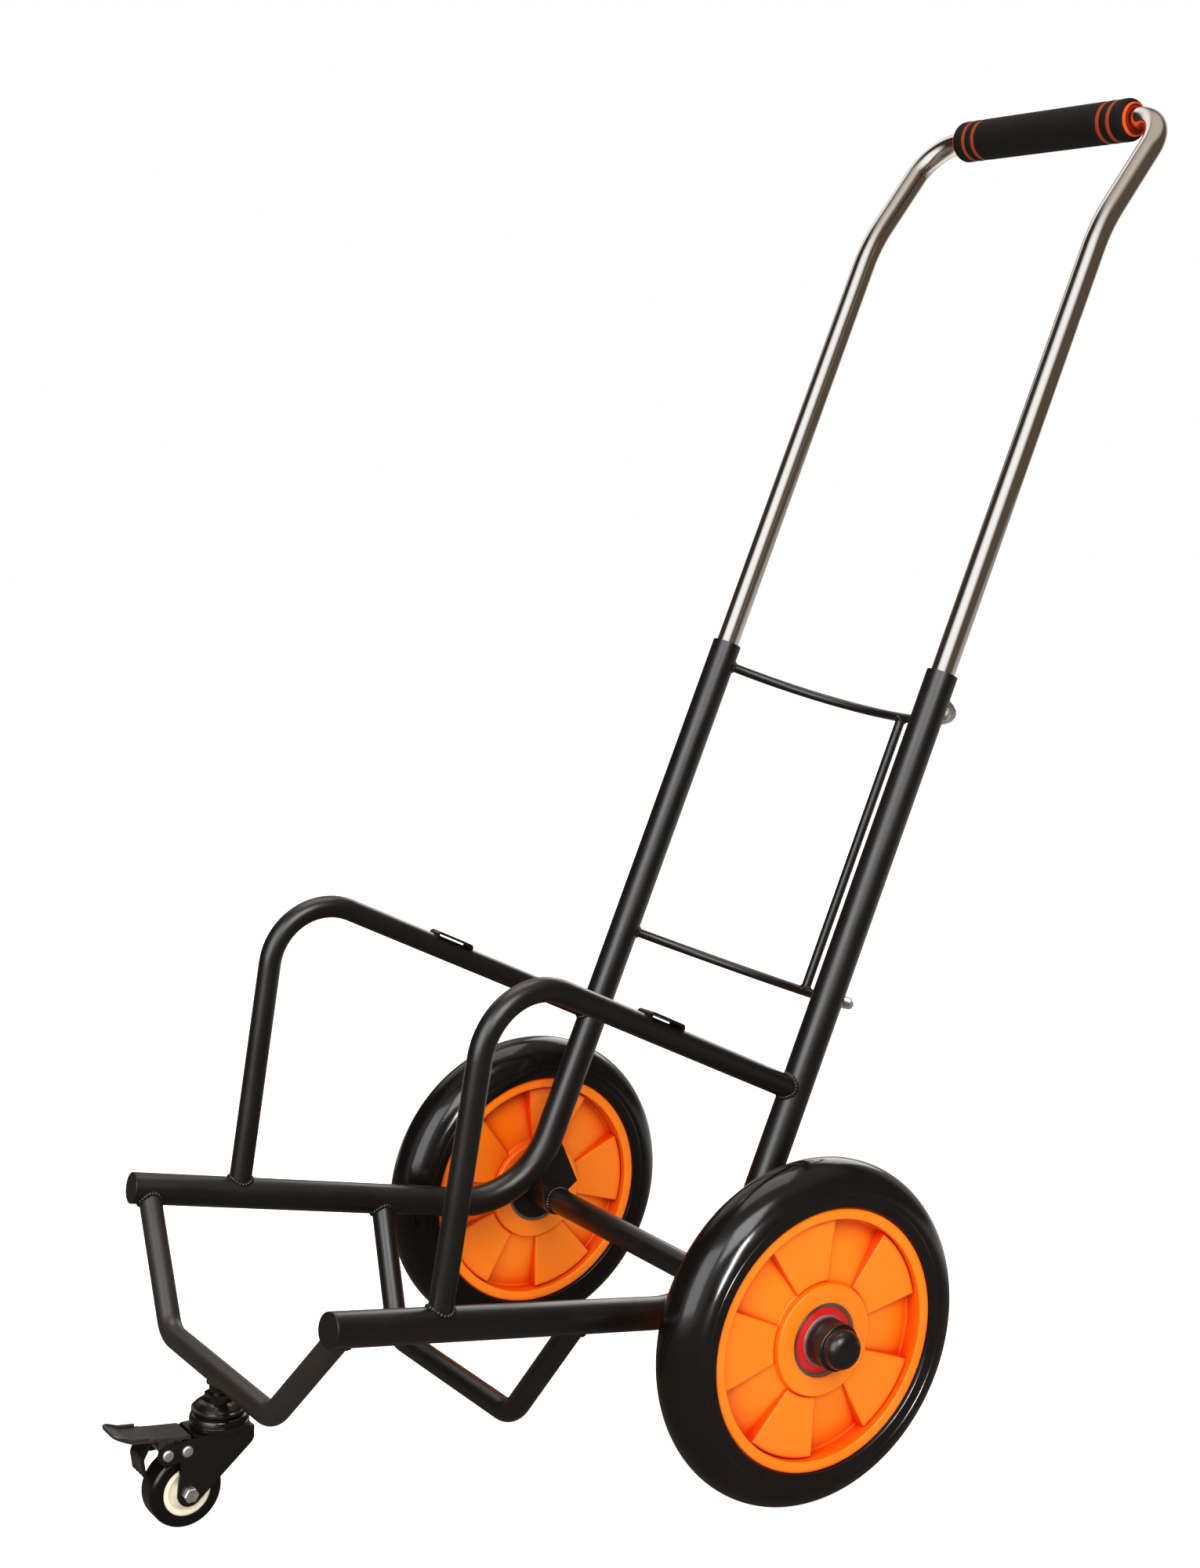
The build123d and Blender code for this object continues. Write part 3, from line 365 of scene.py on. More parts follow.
def on_upright(side, along):
    """Point on an upright's centre line, measured up from the bend's corner."""
    corner = Vector((side * half_width, axle_mm.y, axle_mm.z)) + bend_from_axle
    return corner + up_the_upright * along


def along_rail(side):
    """Direction of a rail, forward from the bend."""
    level = math.cos(rise)
    return Vector((side * math.sin(splay) * level, -math.cos(splay) * level, math.sin(rise)))


def on_rail(side, along):
    """Point on a rail's centre line, measured forward from the bend's corner."""
    return on_upright(side, 0) + along_rail(side) * along


def saddle(foot, away, radius, host, host_radius, steps=160):
    """The closed line where a tube from a foot on another tube's axis comes out of that tube."""
    away = away.normalized()
    first = away.orthogonal().normalized()
    second = away.cross(first)
    slope = away - host * away.dot(host)
    line = []
    for step in range(steps):
        turn = math.tau * step / steps
        offset = (first * math.cos(turn) + second * math.sin(turn)) * radius
        gap = offset - host * offset.dot(host)
        half = slope.dot(gap) / slope.dot(slope)
        rest = (gap.dot(gap) - host_radius ** 2) / slope.dot(slope)
        out = -half + math.sqrt(max(0.0, half * half - rest))
        line.append(foot + offset + away * out)
    return line


weld_coat = finish(
    "black_powder_coat_on_welds", ("#0f0d0c", "#151210"), roughness=(0.22, 0.3),
    patch_mm=12, grain_mm=1.0, bump_mm=0.05,
    shader={"IOR": 1.5, "Specular IOR Level": 0.4})
weld_radius = 1.9
rod_weld_radius = 1.5
spine_weld_radius = rod_weld_radius * 0.8
weld_ripple = 0.16
ripple_pitch = 1.25


def weld(name, line, radius, closed=True):
    """A weld bead along a line; the height and pitch of its ripples are shares of its radius."""
    length = sum((after - before).length for before, after in zip(line, line[1:]))
    ripples = max(3, round(length / (radius * ripple_pitch)))

    def swell(share):
        return radius * (1 + weld_ripple * math.sin(math.tau * ripples * share))

    bead = tube(line, swell, sides=12, closed=closed)
    new_piece("weld_" + name, bead, weld_coat, "frame")


hoop_foot_along = 263.5
hoop_end_along = 177.0
hoop_corner_from_axle = Vector((165.5, -261.0, 301.5))
front_foot_along = 339.5
front_drop = Vector((0.0, -15.0, -88.9))
rear_foot_along = 136.2
rear_drop = Vector((0.0, -17.2, -94.5))
u_feet = {"front": (front_foot_along, front_drop), "rear": (rear_foot_along, rear_drop)}
u_bottom_half = 88.3
rod_bow = 97.5
rod_places = {"upper": 502.6, "lower": 254.7}
bow_radius = (half_width ** 2 + rod_bow ** 2) / (2 * rod_bow)
ring_steps = 120
plate_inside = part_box("axle_bracket_right")[0].x * 1000
seam_start = 50.0
seam_step = 0.5
seam_steps = 60
seam_proud = 0.9
both_sides = {"right": 1, "left": -1}
for word, side in both_sides.items():
    rail = along_rail(side)
    mirror = Vector((side, 1.0, 1.0))
    corner = hoop_corner_from_axle * mirror + Vector((0.0, axle_mm.y, axle_mm.z))
    foot = on_rail(side, hoop_foot_along)
    line = saddle(foot, corner - foot, hoop_radius, rail, side_radius)
    weld("hoop_foot_" + word, line, weld_radius)
    foot = on_upright(side, hoop_end_along)
    line = saddle(foot, corner - foot, hoop_radius, up_the_upright, side_radius)
    weld("hoop_end_" + word, line, weld_radius)
    for name, (along, drop) in u_feet.items():
        foot = on_rail(side, along)
        bottom = Vector((side * u_bottom_half, foot.y, foot.z)) + drop
        line = saddle(foot, bottom - foot, hoop_radius, rail, side_radius)
        weld(f"{name}_u_{word}", line, weld_radius)
    for name, along in rod_places.items():
        foot = on_upright(side, along)
        to_centre = Vector((-side * half_width, 0, 0)) + behind_the_upright * (rod_bow - bow_radius)
        inward = abs(to_centre.dot(behind_the_upright))
        tangent = Vector((-side * inward, 0, 0)) + behind_the_upright * half_width
        line = saddle(foot, tangent, rod_radius, up_the_upright, side_radius)
        weld(f"{name}_rod_{word}", line, rod_weld_radius)
    ring_line = []
    for step in range(ring_steps):
        turn = math.tau * step / ring_steps
        around = Vector((0.0, math.cos(turn), math.sin(turn))) * axle_tube_radius
        ring_line.append(Vector((side * plate_inside, axle_mm.y, axle_mm.z)) + around)
    weld("axle_tube_" + word, ring_line, weld_radius)
    # The seam along a plate's edge lies on the upright's back, its middle just outside the wall.
    seam_behind = math.sqrt((side_radius + seam_proud) ** 2 - (plate_inside - half_width) ** 2)
    tube_side = Vector((side * plate_inside, 0, 0)) + behind_the_upright * seam_behind
    seam = [on_upright(side, seam_start + step * seam_step) * Vector((0, 1, 1)) + tube_side
            for step in range(seam_steps)]
    weld("bracket_back_" + word, seam, weld_radius, closed=False)
# The spine is as thick as the rods it meets, so the rods count as a little thicker here.
spine_seat_radius = rod_radius * 1.02
spine_away = {"upper": -1, "lower": 1}
sideways = Vector((1, 0, 0))
for name, along in rod_places.items():
    middle = on_upright(0, along) + behind_the_upright * rod_bow
    line = saddle(middle, up_the_upright * spine_away[name], rod_radius, sideways, spine_seat_radius)
    weld(name + "_spine", line, spine_weld_radius)
stem_radius = 7.5
stem_foot = on_rail(1, front_foot_along) * Vector((0, 1, 1)) + front_drop
line = saddle(stem_foot, Vector((0, 0, -1)), stem_radius, sideways, hoop_radius)
weld("caster_stem", line, weld_radius)


# Plastic plugs, guide bushes, ferrules and wheel spacers. Injection moulded black polyethylene,
# pushed into or over the tubes: satin, a touch milky, with a fine spark-eroded grain.
black_plastic = finish(
    "moulded_black_polyethylene", ("#0f0e0e", "#151413"), roughness=(0.34, 0.44),
    patch_mm=18, grain_mm=0.6, bump_mm=0.04,
    shader={"IOR": 1.51, "Specular IOR Level": 0.35})
dress(black_plastic, "rail_end_cap_right", "rail_end_cap_left", "guide_bush_right",
      "guide_bush_left", "leg_ferrule_right", "leg_ferrule_left", "wheel_spacer_right", "wheel_spacer_left")


# Rims. Injection moulded orange polypropylene, both from one mould: a rounded lip and hub, five
# dished wedge spokes, and between them pockets that go almost through. Bright and softly waxy;
# a painted shade of deeper orange darkens the pockets.
spokes = 5
spoke_pitch = 360 / spokes
hub_height = 20.3
lip_height = 21.9
hub_edge = 43.0
lip_edge = 93.2
draft = 0.4
tyre_seat = 102.0
hub_bore = 28.5
bearing_seat = 24.0
bearing_seat_half = 7.0
front_wedge_angle = 38.0
back_wedge_angle = 31.5


def rim_face(front, wedge_angle, first_angle):
    """One face of a rim as rows of (across, radius, angle), from the bore's edge out to the tyre seat."""
    if front:
        wedge_at_hub, wedge_at_lip, floor_height, hub_slope = 14.4, 6.4, -12.6, 6.0
    else:
        wedge_at_hub, wedge_at_lip, floor_height, hub_slope = -10.4, -2.4, 16.6, 0.0
    half = wedge_angle / 2
    half_pocket = spoke_pitch / 2 - half
    flat_of_wedge, flat_of_pocket = 0.75, 0.66
    steps = 5
    # Each wall between wedge and pocket: how far round, how high, and whether it is still wedge.
    wall = ((-2.4, 0.0, True), (-1.2, -0.12, True), (-0.4, -0.55, True), (0.0, -1.4, True),
            (1.0, 1.7, False), (1.35, 0.7, False), (2.0, 0.18, False), (3.2, 0.0, False))
    columns = []
    for spoke in range(spokes):
        centre = first_angle + spoke * spoke_pitch
        for step in range(-steps, steps + 1):
            columns.append((centre + half * flat_of_wedge * step / steps, 0.0, 0.0, True))
        for shift, lift, wedge in wall:
            columns.append((centre + half, shift, lift, wedge))
        for step in range(-steps, steps + 1):
            angle = centre + spoke_pitch / 2 + half_pocket * flat_of_pocket * step / steps
            columns.append((angle, 0.0, 0.0, False))
        for shift, lift, wedge in reversed(wall):
            columns.append((centre + spoke_pitch - half, -shift, lift, wedge))
    # The rounded edge of hub and lip, and the fillet at its foot: how far out, how high.
    edge_rows = ((-2.4, 0.0), (-1.2, -0.12), (-0.4, -0.55), (0.0, -1.5))
    foot_rows = ((0.6, 1.6), (0.95, 0.7), (1.6, 0.2), (2.8, 0.0))
    rows = [("top", hub_bore, hub_height - 0.6), ("top", 29.6, hub_height), ("top", 36.0, hub_height)]
    rows += [("top", hub_edge + draft + shift, hub_height + lift) for shift, lift in edge_rows]
    rows += [("hub foot", hub_edge + draft + shift, lift) for shift, lift in foot_rows]
    rows += [("web", radius, 0.0) for radius in (55.0, 62.0, 70.0, 78.0, 85.0)]
    rows += [("web", lip_edge - draft - shift, lift) for shift, lift in reversed(foot_rows)]
    rows += [("top", lip_edge - draft - shift, lip_height + lift) for shift, lift in reversed(edge_rows)]
    rows += [("top", 98.5, lip_height), ("top", 100.6, lip_height - 0.3), ("top", 101.6, lip_height - 1.1),
             ("top", tyre_seat, lip_height - 2.2)]
    sign = 1 if front else -1
    face = []
    for part, radius, value in rows:
        row = []
        for angle, shift, lift, wedge in columns:
            place = radius + (hub_slope if part == "hub foot" and not wedge else 0.0)
            if part == "top":
                height = value * sign
            elif wedge:
                share = (place - hub_edge) / (lip_edge - hub_edge)
                height = wedge_at_hub + (wedge_at_lip - wedge_at_hub) * share + (value + lift) * sign
            else:
                height = floor_height + max(value, lift) * sign
            row.append((height, place, math.radians(angle) + shift / max(place, hub_edge)))
        face.append(row)
    return face


def rim_shape(middle, first_angle):
    """Vertices and faces of a whole rim: its front, its back, the bearing seats and the tyre seat."""
    front = rim_face(True, front_wedge_angle, first_angle)
    back = rim_face(False, back_wedge_angle, first_angle)
    turns = len(front[0])
    seat = []
    for across, radius in ((-bearing_seat_half, hub_bore), (-bearing_seat_half, bearing_seat),
                           (bearing_seat_half, bearing_seat), (bearing_seat_half, hub_bore)):
        share = (across + hub_height) / (2 * hub_height)
        seat.append([(across, radius, back[0][turn][2] * (1 - share) + front[0][turn][2] * share)
                     for turn in range(turns)])
    rows = list(reversed(back)) + seat + front
    vertices = []
    for row in rows:
        for across, radius, turn in row:
            vertices.append(middle + Vector((across, math.cos(turn) * radius, math.sin(turn) * radius)))
    faces = []
    for row in range(len(rows)):
        start, end = row * turns, (row + 1) % len(rows) * turns
        for turn in range(turns):
            far = (turn + 1) % turns
            faces.append((start + turn, start + far, end + far, end + turn))
    return vertices, faces


wheel_mid = 201.0
spoke_angles = {"right": 67.5, "left": 39.5}
# Painted shade: where walls are near, the pockets are blended towards a deeper orange.
painted_pocket_shade = "#d62c00"
pocket_shade_reach = 55
orange_plastic = finish(
    "moulded_orange_polypropylene", ("#ff7906", "#ff840c"), roughness=(0.27, 0.36),
    patch_mm=30, grain_mm=0.9, bump_mm=0.03,
    shader={"IOR": 1.49, "Specular IOR Level": 0.35, "Subsurface Weight": 0.15,
            "Subsurface Radius": (1.0, 0.22, 0.04), "Subsurface Scale": 0.006},
    hollow_shade=(painted_pocket_shade, pocket_shade_reach))
for word, side in both_sides.items():
    wheel_middle = Vector((side * wheel_mid, axle_mm.y, axle_mm.z))
    rim = new_piece("moulded_rim_" + word, rim_shape(wheel_middle, spoke_angles[word]), orange_plastic,
                    word + "_wheel", sharp=60.0)
    # Flat faces look flat right up to their rounded edges.
    even = rim.modifiers.new("even_shading", "WEIGHTED_NORMAL")
    even.keep_sharp = True
    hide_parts("rim_" + word)


# Tyres. Solid black rubber, pressed in a polished mould and stretched over the rim's key: a
# glossy bulging tread, with a crease low on the sidewall beside a narrow flat band.
def lathe(profile, middle, along=Vector((1, 0, 0)), steps=120):
    """A closed profile of (across, radius) points turned about an axis."""
    first = along.orthogonal().normalized()
    second = along.cross(first)
    vertices = []
    for step in range(steps):
        turn = math.tau * step / steps
        out = first * math.cos(turn) + second * math.sin(turn)
        for across, radius in profile:
            vertices.append(middle + along * across + out * radius)
    count = len(profile)
    faces = []
    for step in range(steps):
        start, end = step * count, (step + 1) % steps * count
        for place in range(count):
            far = (place + 1) % count
            faces.append((start + place, start + far, end + far, end + place))
    return vertices, faces


tyre_rubber = finish(
    "pressed_solid_rubber", ("#090807", "#0f0c0b"), roughness=(0.12, 0.2),
    patch_mm=22, grain_mm=3.0, bump_mm=0.04,
    shader={"IOR": 1.52, "Specular IOR Level": 0.3})
tyre_round = 24.4
tyre_middle = 109.6
sidewall = [(22.9, tyre_seat), (23.5, 102.6), (23.8, 104.0), (23.95, 107.0), (23.9, 109.6), (23.5, 110.6),
            (23.35, 111.0), (23.6, 111.5), (24.1, 112.4)]
bulge_from = 8
bulge_steps = 36
bulge = []
for step in range(bulge_steps + 1):
    angle = math.radians(bulge_from + (90 - bulge_from) * step / bulge_steps)
    bulge.append((tyre_round * math.cos(angle), tyre_middle + tyre_round * math.sin(angle)))
tyre_half = sidewall + bulge
tyre_profile = tyre_half + [(-across, radius) for across, radius in reversed(tyre_half[:-1])]
mirrors_panels = bpy.data.collections.new("mirrors_panels")
for word, side in both_sides.items():
    wheel_middle = Vector((side * wheel_mid, axle_mm.y, axle_mm.z))
    tyre = new_piece("solid_tyre_" + word, lathe(tyre_profile, wheel_middle, steps=180), tyre_rubber,
                     word + "_wheel", sharp=50.0)
    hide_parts("tyre_" + word)
    mirrors_panels.objects.link(tyre)

# Two bright panels to the truck's right that only the tyres mirror, as white streaks.
panel_reach = 2.55
panel_heights = {"low": 0.14, "high": 0.66}
panel_size = (0.2, 0.42)
panel_watts = 30.0
for word, height in panel_heights.items():
    panel_place = axle + Vector((panel_reach, 0.0, height))
    panel = area_lamp("side_panel_" + word, panel_place, panel_size, panel_watts, axle)
    panel.light_linking.receiver_collection = mirrors_panels


# Bearings. Two ball bearings in each hub, pressed into their seats: ground steel races, pale and
# softly mirrored, and between them a moulded red nitrile seal, satin, with two ring grooves.
bearing_steel = finish(
    "ground_bearing_steel", ("#b4b6b8", "#c6c7c7"), roughness=(0.3, 0.42),
    patch_mm=9, grain_mm=0.7, bump_mm=0.01,
    shader={"Metallic": 1.0})
seal_rubber = finish(
    "moulded_red_nitrile", ("#c21313", "#cf1d18"), roughness=(0.36, 0.5),
    patch_mm=7, grain_mm=0.5, bump_mm=0.05,
    shader={"IOR": 1.52, "Specular IOR Level": 0.25})
dress(bearing_steel, "bearing_inner_races_right", "bearing_inner_races_left",
      "bearing_outer_races_right", "bearing_outer_races_left")
seal_profile = [(-0.8, 12.8), (0.5, 12.8), (0.8, 13.4), (0.8, 16.2), (0.45, 16.6), (0.45, 17.6),
                (0.8, 18.0), (0.8, 23.0), (0.45, 23.4), (0.45, 24.2), (0.8, 24.6), (0.7, 25.6),
                (0.3, 25.9), (-0.8, 25.9)]
seal_from_middle = 17.8


def joined(shapes):
    """Several shapes as one: all their vertices, and their faces counted on."""
    vertices, faces = [], []
    for more_vertices, more_faces in shapes:
        faces += [tuple(corner + len(vertices) for corner in face) for face in more_faces]
        vertices += more_vertices
    return vertices, faces


for word, side in both_sides.items():
    turned_seals = []
    for facing in (1, -1):
        middle = Vector((side * wheel_mid + facing * seal_from_middle, axle_mm.y, axle_mm.z))
        profile = [(across * facing, radius) for across, radius in seal_profile]
        turned_seals.append(lathe(profile, middle, steps=96))
    seals = new_piece("pressed_seals_" + word, joined(turned_seals), seal_rubber,
                      word + "_wheel")
    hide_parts("bearing_seals_" + word)


# Fasteners. The axle shaft with its sleeves, nuts and washers, the caster's rivets, bolt and
# sleeve, the studs, the sprung buttons and their springs: mild steel, turned or pressed, zinc
# plated with a clear passivation, pale grey with a faint blue and straw bloom, dull in patches.
zinc = finish(
    "passivated_zinc_plate", ("#dcdee0", "#e0dccf"), roughness=(0.42, 0.58),
    patch_mm=6, grain_mm=0.5, bump_mm=0.02,
    shader={"Metallic": 1.0})
dress(zinc, "axle_shaft", "hub_sleeves", "wheel_washers", "wheel_nuts", "caster_rivets", "caster_sleeve",
      "caster_bolt", "caster_nut", "cord_studs", "lock_button_right", "lock_button_left",
      "button_clip_right", "button_clip_left")


# Push-on axle caps. Moulded black polyethylene, pushed over the wheel nuts: a collar with a
# rounded edge, a step and a domed nose, polished more than the other plastic by handling.
def rounded_loop(corners, radii):
    """A closed outline with one radius for each corner."""
    corners = [Vector(corner) for corner in corners]
    start = (corners[-1] + corners[0]) / 2
    return [tuple(point) for point in rounded([start, *corners, start], radii, degrees=10.0)[:-1]]


cap_plastic = finish(
    "polished_black_polyethylene", ("#100f0f", "#161414"), roughness=(0.24, 0.32),
    patch_mm=9, grain_mm=0.8, bump_mm=0.02,
    shader={"IOR": 1.51, "Specular IOR Level": 0.45})
cap_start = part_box("axle_cap_right")[0].x * 1000
cap_corners = [(0.0, 16.8), (0.0, 18.4), (17.0, 18.2), (17.0, 15.6), (28.5, 14.6), (28.5, 0.01),
               (25.5, 0.01), (25.5, 11.0), (15.4, 11.0), (15.4, 16.8)]
cap_radii = [0.01, 0.8, 1.6, 0.7, 9.5, 0.001, 0.001, 0.5, 0.5, 0.5]
for word, side in both_sides.items():
    outline = [(across * side, radius) for across, radius in rounded_loop(cap_corners, cap_radii)]
    cap_shape = lathe(outline, Vector((side * cap_start, axle_mm.y, axle_mm.z)))
    cap = new_piece("push_on_cap_" + word, cap_shape, cap_plastic, "frame")
    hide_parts("axle_cap_" + word)


# Handle. One length of 19 mm steel tube, bent, buffed and chrome plated, with two button holes
# punched in each leg: a hard mirror that shows the studio as long stripes, with faint smears.
chrome, tree = new_material("buffed_chrome_plate")
chrome_colour = "#f5f2ee"
smear_mm = 60
smear_stretch = (6, 1, 1)
smear_depth_mm = 0.1
where = add_node(tree, "ShaderNodeTexCoord")
stretched = add_node(tree, "ShaderNodeMapping", (), {
    "Vector": where.outputs["Object"], "Scale": smear_stretch})
smears = add_node(tree, "ShaderNodeTexNoise", (), {
    "Vector": stretched.outputs[0], "Scale": 1000 / smear_mm, "Detail": 6.0})
gloss = add_node(tree, "ShaderNodeMapRange", (), {
    "Value": smears.outputs[0], "From Min": 0.35, "From Max": 0.7, "To Min": 0.05, "To Max": 0.16})
drawn = add_node(tree, "ShaderNodeBump", (), {
    "Height": smears.outputs[0], "Strength": 0.2, "Distance": smear_depth_mm / 1000})
skin = add_node(tree, "ShaderNodeBsdfPrincipled", (), {
    "Base Color": linear(chrome_colour), "Metallic": 1.0, "Roughness": gloss.outputs[0],
    "Normal": drawn.outputs[0]})
add_node(tree, "ShaderNodeOutputMaterial", (), {"Surface": skin.outputs[0]})

leg_radius = 9.5
leg_bore = 8.3
leg_insert = 115.0
leg_out = 381.8
top_run = 116.0
top_lean = math.radians(37.4)
handle_bends = [150.0, 36.0, 36.0, 150.0]
button_below_top = 29.0
button_turn = math.radians(20.0)
handle_travel = 330.0
hole_radius = 5.7
punch_from, punch_to = 4, 16
along_top = Vector((0.0, math.sin(top_lean), math.cos(top_lean)))
handle_points = []
for side in (-1, 1):
    knee = on_upright(side, upright_length + leg_out)
    stretch = [on_upright(side, upright_length - leg_insert), knee, knee + along_top * top_run]
    handle_points += stretch if side < 0 else stretch[::-1]
handle_shape = tube(rounded(handle_points, handle_bends, degrees=2.0), leg_radius, sides=72, bore=leg_bore)
handle = new_piece("chromed_handle", handle_shape, chrome, "handle")
# The lower hole of a leg holds the handle out, the upper one holds it down.
punches = []
for side in (-1, 1):
    outward_part = Vector((side * math.sin(button_turn), 0, 0))
    behind_and_out = outward_part + behind_the_upright * math.cos(button_turn)
    for raised in (0.0, handle_travel):
        centre = on_upright(side, upright_length - button_below_top + raised)
        punch_line = [centre + behind_and_out * punch_from, centre + behind_and_out * punch_to]
        punch_shape = tube(punch_line, hole_radius, sides=40)
        punch = bpy.data.objects.new("punch", new_mesh("punch", punch_shape))
        bpy.context.scene.collection.objects.link(punch)
        cut = handle.modifiers.new("punched_hole", "BOOLEAN")
        cut.object = punch
        cut.operation = "DIFFERENCE"
        cut.solver = "EXACT"
        punches.append(punch)
bpy.context.view_layer.update()
punched = bpy.data.meshes.new_from_object(handle.evaluated_get(bpy.context.evaluated_depsgraph_get()))
handle.modifiers.clear()
handle.data = punched
punched.set_sharp_from_angle(angle=math.radians(crease_degrees))
for punch in punches:
    bpy.data.objects.remove(punch)
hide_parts("handle_tube")

# The lamps themselves stay out of the chrome; it mirrors only the walls.
no_lamps_on = bpy.data.collections.new("no_lamps_on")
no_lamps_on.objects.link(handle)
no_lamps_on.collection_objects[0].light_linking.link_state = "EXCLUDE"
for lamp in box_lamps:
    lamp.light_linking.receiver_collection = no_lamps_on


# Grip. A sleeve of black NBR foam with turned grooves, four thin orange foam rings pressed into
# them and a dished orange ring on each end. Matt, with cut cells that catch a little light.
def foam(name, colours, cell_mm, hollow_shade=None):
    """Closed-cell foam, matt, with a pit for each cell that is cut open, and a painted shade in its hollows
    as in finish.
    """
    material, tree = new_material(name)
    where = add_node(tree, "ShaderNodeTexCoord")
    cells = add_node(tree, "ShaderNodeTexVoronoi", (), {
        "Vector": where.outputs["Object"], "Scale": 1000 / cell_mm})
    shade = add_node(tree, "ShaderNodeMix", {"data_type": "RGBA"}, {
        0: cells.outputs["Distance"], 6: linear(colours[0]), 7: linear(colours[1])})
    if hollow_shade:
        shade = paint_shade_in_hollows(tree, shade, *hollow_shade)
    pits = add_node(tree, "ShaderNodeBump", {"invert": True}, {
        "Height": cells.outputs["Distance"], "Strength": 0.7, "Distance": cell_mm / 4000})
    skin = add_node(tree, "ShaderNodeBsdfPrincipled", (), {
        "Base Color": shade.outputs[2], "Roughness": 0.82, "IOR": 1.5, "Specular IOR Level": 0.12,
        "Normal": pits.outputs[0]})
    add_node(tree, "ShaderNodeOutputMaterial", (), {"Surface": skin.outputs[0]})
    return material


# Real cells are nearer 0.3 mm, too fine to show, so they are drawn coarser. The dish of an end
# ring gets a painted shade of dark red.
cell_mm = 0.7
painted_dish_shade = "#7c1704"
dish_shade_reach = 9
black_foam = foam("black_nbr_foam", ("#171413", "#0f0d0c"), cell_mm)
orange_foam = foam("orange_nbr_foam", ("#913b1a", "#7c3014"), cell_mm)
end_ring_foam = foam("bright_orange_nbr_foam", ("#e8581c", "#d84a12"), cell_mm,
                     hollow_shade=(painted_dish_shade, dish_shade_reach))
grip_low, grip_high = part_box("grip_foam")
grip_middle = (grip_low + grip_high) * 500
grip_radius = 17.5
foam_bore = 9.6
foam_half = 100.8
end_round = 4.6
round_steps = 9
groove_radius = 15.2
ring_places = (-86.5, -75.0, 75.0, 86.5)
ring_half = 2.3
# Half a groove: how far from its middle, at what radius.
groove_side = ((4.6, grip_radius), (3.2, 17.38), (2.5, 17.0), (2.35, 16.6), (ring_half, groove_radius))
plain_places = (-50.0, -25.0, 0.0, 25.0, 50.0)
foam_end = [(-foam_half, foam_bore)]
for step in reversed(range(round_steps + 1)):
    angle = math.radians(90 * step / round_steps)
    foam_end.append((-foam_half + end_round * (1 - math.sin(angle)),
                     grip_radius - end_round * (1 - math.cos(angle))))
foam_profile = list(foam_end)
for place in ring_places:
    foam_profile += [(place - across, radius) for across, radius in groove_side]
    foam_profile += [(place + across, radius) for across, radius in reversed(groove_side)]
    # Between the two pairs of rings the sleeve is plain.
    if place == ring_places[1]:
        foam_profile += [(across, grip_radius) for across in plain_places]
foam_profile += [(-across, radius) for across, radius in reversed(foam_end)]
sleeve_shape = lathe(foam_profile, grip_middle, steps=96)
foam_grip = new_piece("foam_sleeve", sleeve_shape, black_foam, "handle")
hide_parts("grip_foam")
ring_crown = [(-2.2, 15.3), (-2.25, 16.6), (-1.7, 17.1), (-0.8, 17.32), (0.0, 17.38), (0.8, 17.32),
              (1.7, 17.1), (2.25, 16.6), (2.2, 15.3)]
turned_rings = [lathe(ring_crown, grip_middle + Vector((place, 0, 0)), steps=96) for place in ring_places]
rings = new_piece("pressed_in_rings", joined(turned_rings), orange_foam, "handle")
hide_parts("grip_rings")
end_dish = [(-0.6, 9.7), (-0.6, 13.9), (0.9, 13.9), (1.8, 13.7), (2.3, 13.3), (2.4, 12.8), (2.2, 12.3),
            (1.6, 11.9), (0.9, 11.6), (0.5, 11.0), (0.4, 9.7)]
turned_ends = []
for side in (-1, 1):
    profile = [(across * side, radius) for across, radius in end_dish]
    turned_ends.append(lathe(profile, grip_middle + Vector((side * foam_half, 0, 0)), steps=96))
end_rings = new_piece("dished_end_rings", joined(turned_ends), end_ring_foam, "handle")
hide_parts("grip_end_rings")


# Caster. A small braked swivel caster on a threaded stem: pressed steel cup, race, fork and brake
# in gloss black enamel over plating, which pools on edges and throws small hard glints.
gloss_enamel = finish(
    "gloss_black_enamel", ("#0c0b0b", "#13100f"), roughness=(0.12, 0.24),
    patch_mm=9, grain_mm=2.4, bump_mm=0.16,
    shader={"IOR": 1.52, "Specular IOR Level": 0.5})
# The pedal's enamel is rubbed by shoes: browner, duller and patchy.
worn_enamel = finish(
    "scuffed_black_enamel", ("#1d1917", "#3a322d"), roughness=(0.26, 0.42),
    patch_mm=7, grain_mm=0.9, bump_mm=0.08,
    shader={"IOR": 1.52, "Specular IOR Level": 0.5})
dress(gloss_enamel, "caster_stem", "caster_fork", "brake_shoe")
dress(worn_enamel, "brake_pedal")
cup_low, cup_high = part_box("swivel_cup")
swivel_y = (cup_low + cup_high).y * 500
race_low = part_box("swivel_race")[0]
up = Vector((0, 0, 1))
cup_corners = [(0.0, 5.4), (0.0, 21.2), (1.0, 22.0), (3.9, 22.0), (4.4, 20.9), (5.2, 20.9), (5.7, 22.0),
               (8.6, 21.2), (10.5, 18.0), (10.5, 5.4)]
cup_radii = [0.1, 0.6, 0.8, 0.4, 0.3, 0.3, 0.4, 2.0, 1.2, 0.1]
cup_shape = lathe(rounded_loop(cup_corners, cup_radii), Vector((0, swivel_y, cup_low.z * 1000)), up)
cup = new_piece("pressed_swivel_cup", cup_shape, gloss_enamel, "caster")
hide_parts("swivel_cup")
race_corners = [(0.0, 5.0), (0.0, 19.6), (0.8, 20.5), (2.6, 20.5), (3.4, 18.6), (4.6, 18.6), (5.2, 17.8),
                (7.2, 15.0), (8.5, 12.0), (8.5, 5.0)]
race_radii = [0.1, 0.5, 0.6, 0.4, 0.5, 0.5, 0.6, 1.6, 0.8, 0.1]
race_shape = lathe(rounded_loop(race_corners, race_radii), Vector((0, swivel_y, race_low.z * 1000)), up)
race = new_piece("pressed_swivel_race", race_shape, gloss_enamel, "frame")
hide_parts("swivel_race")

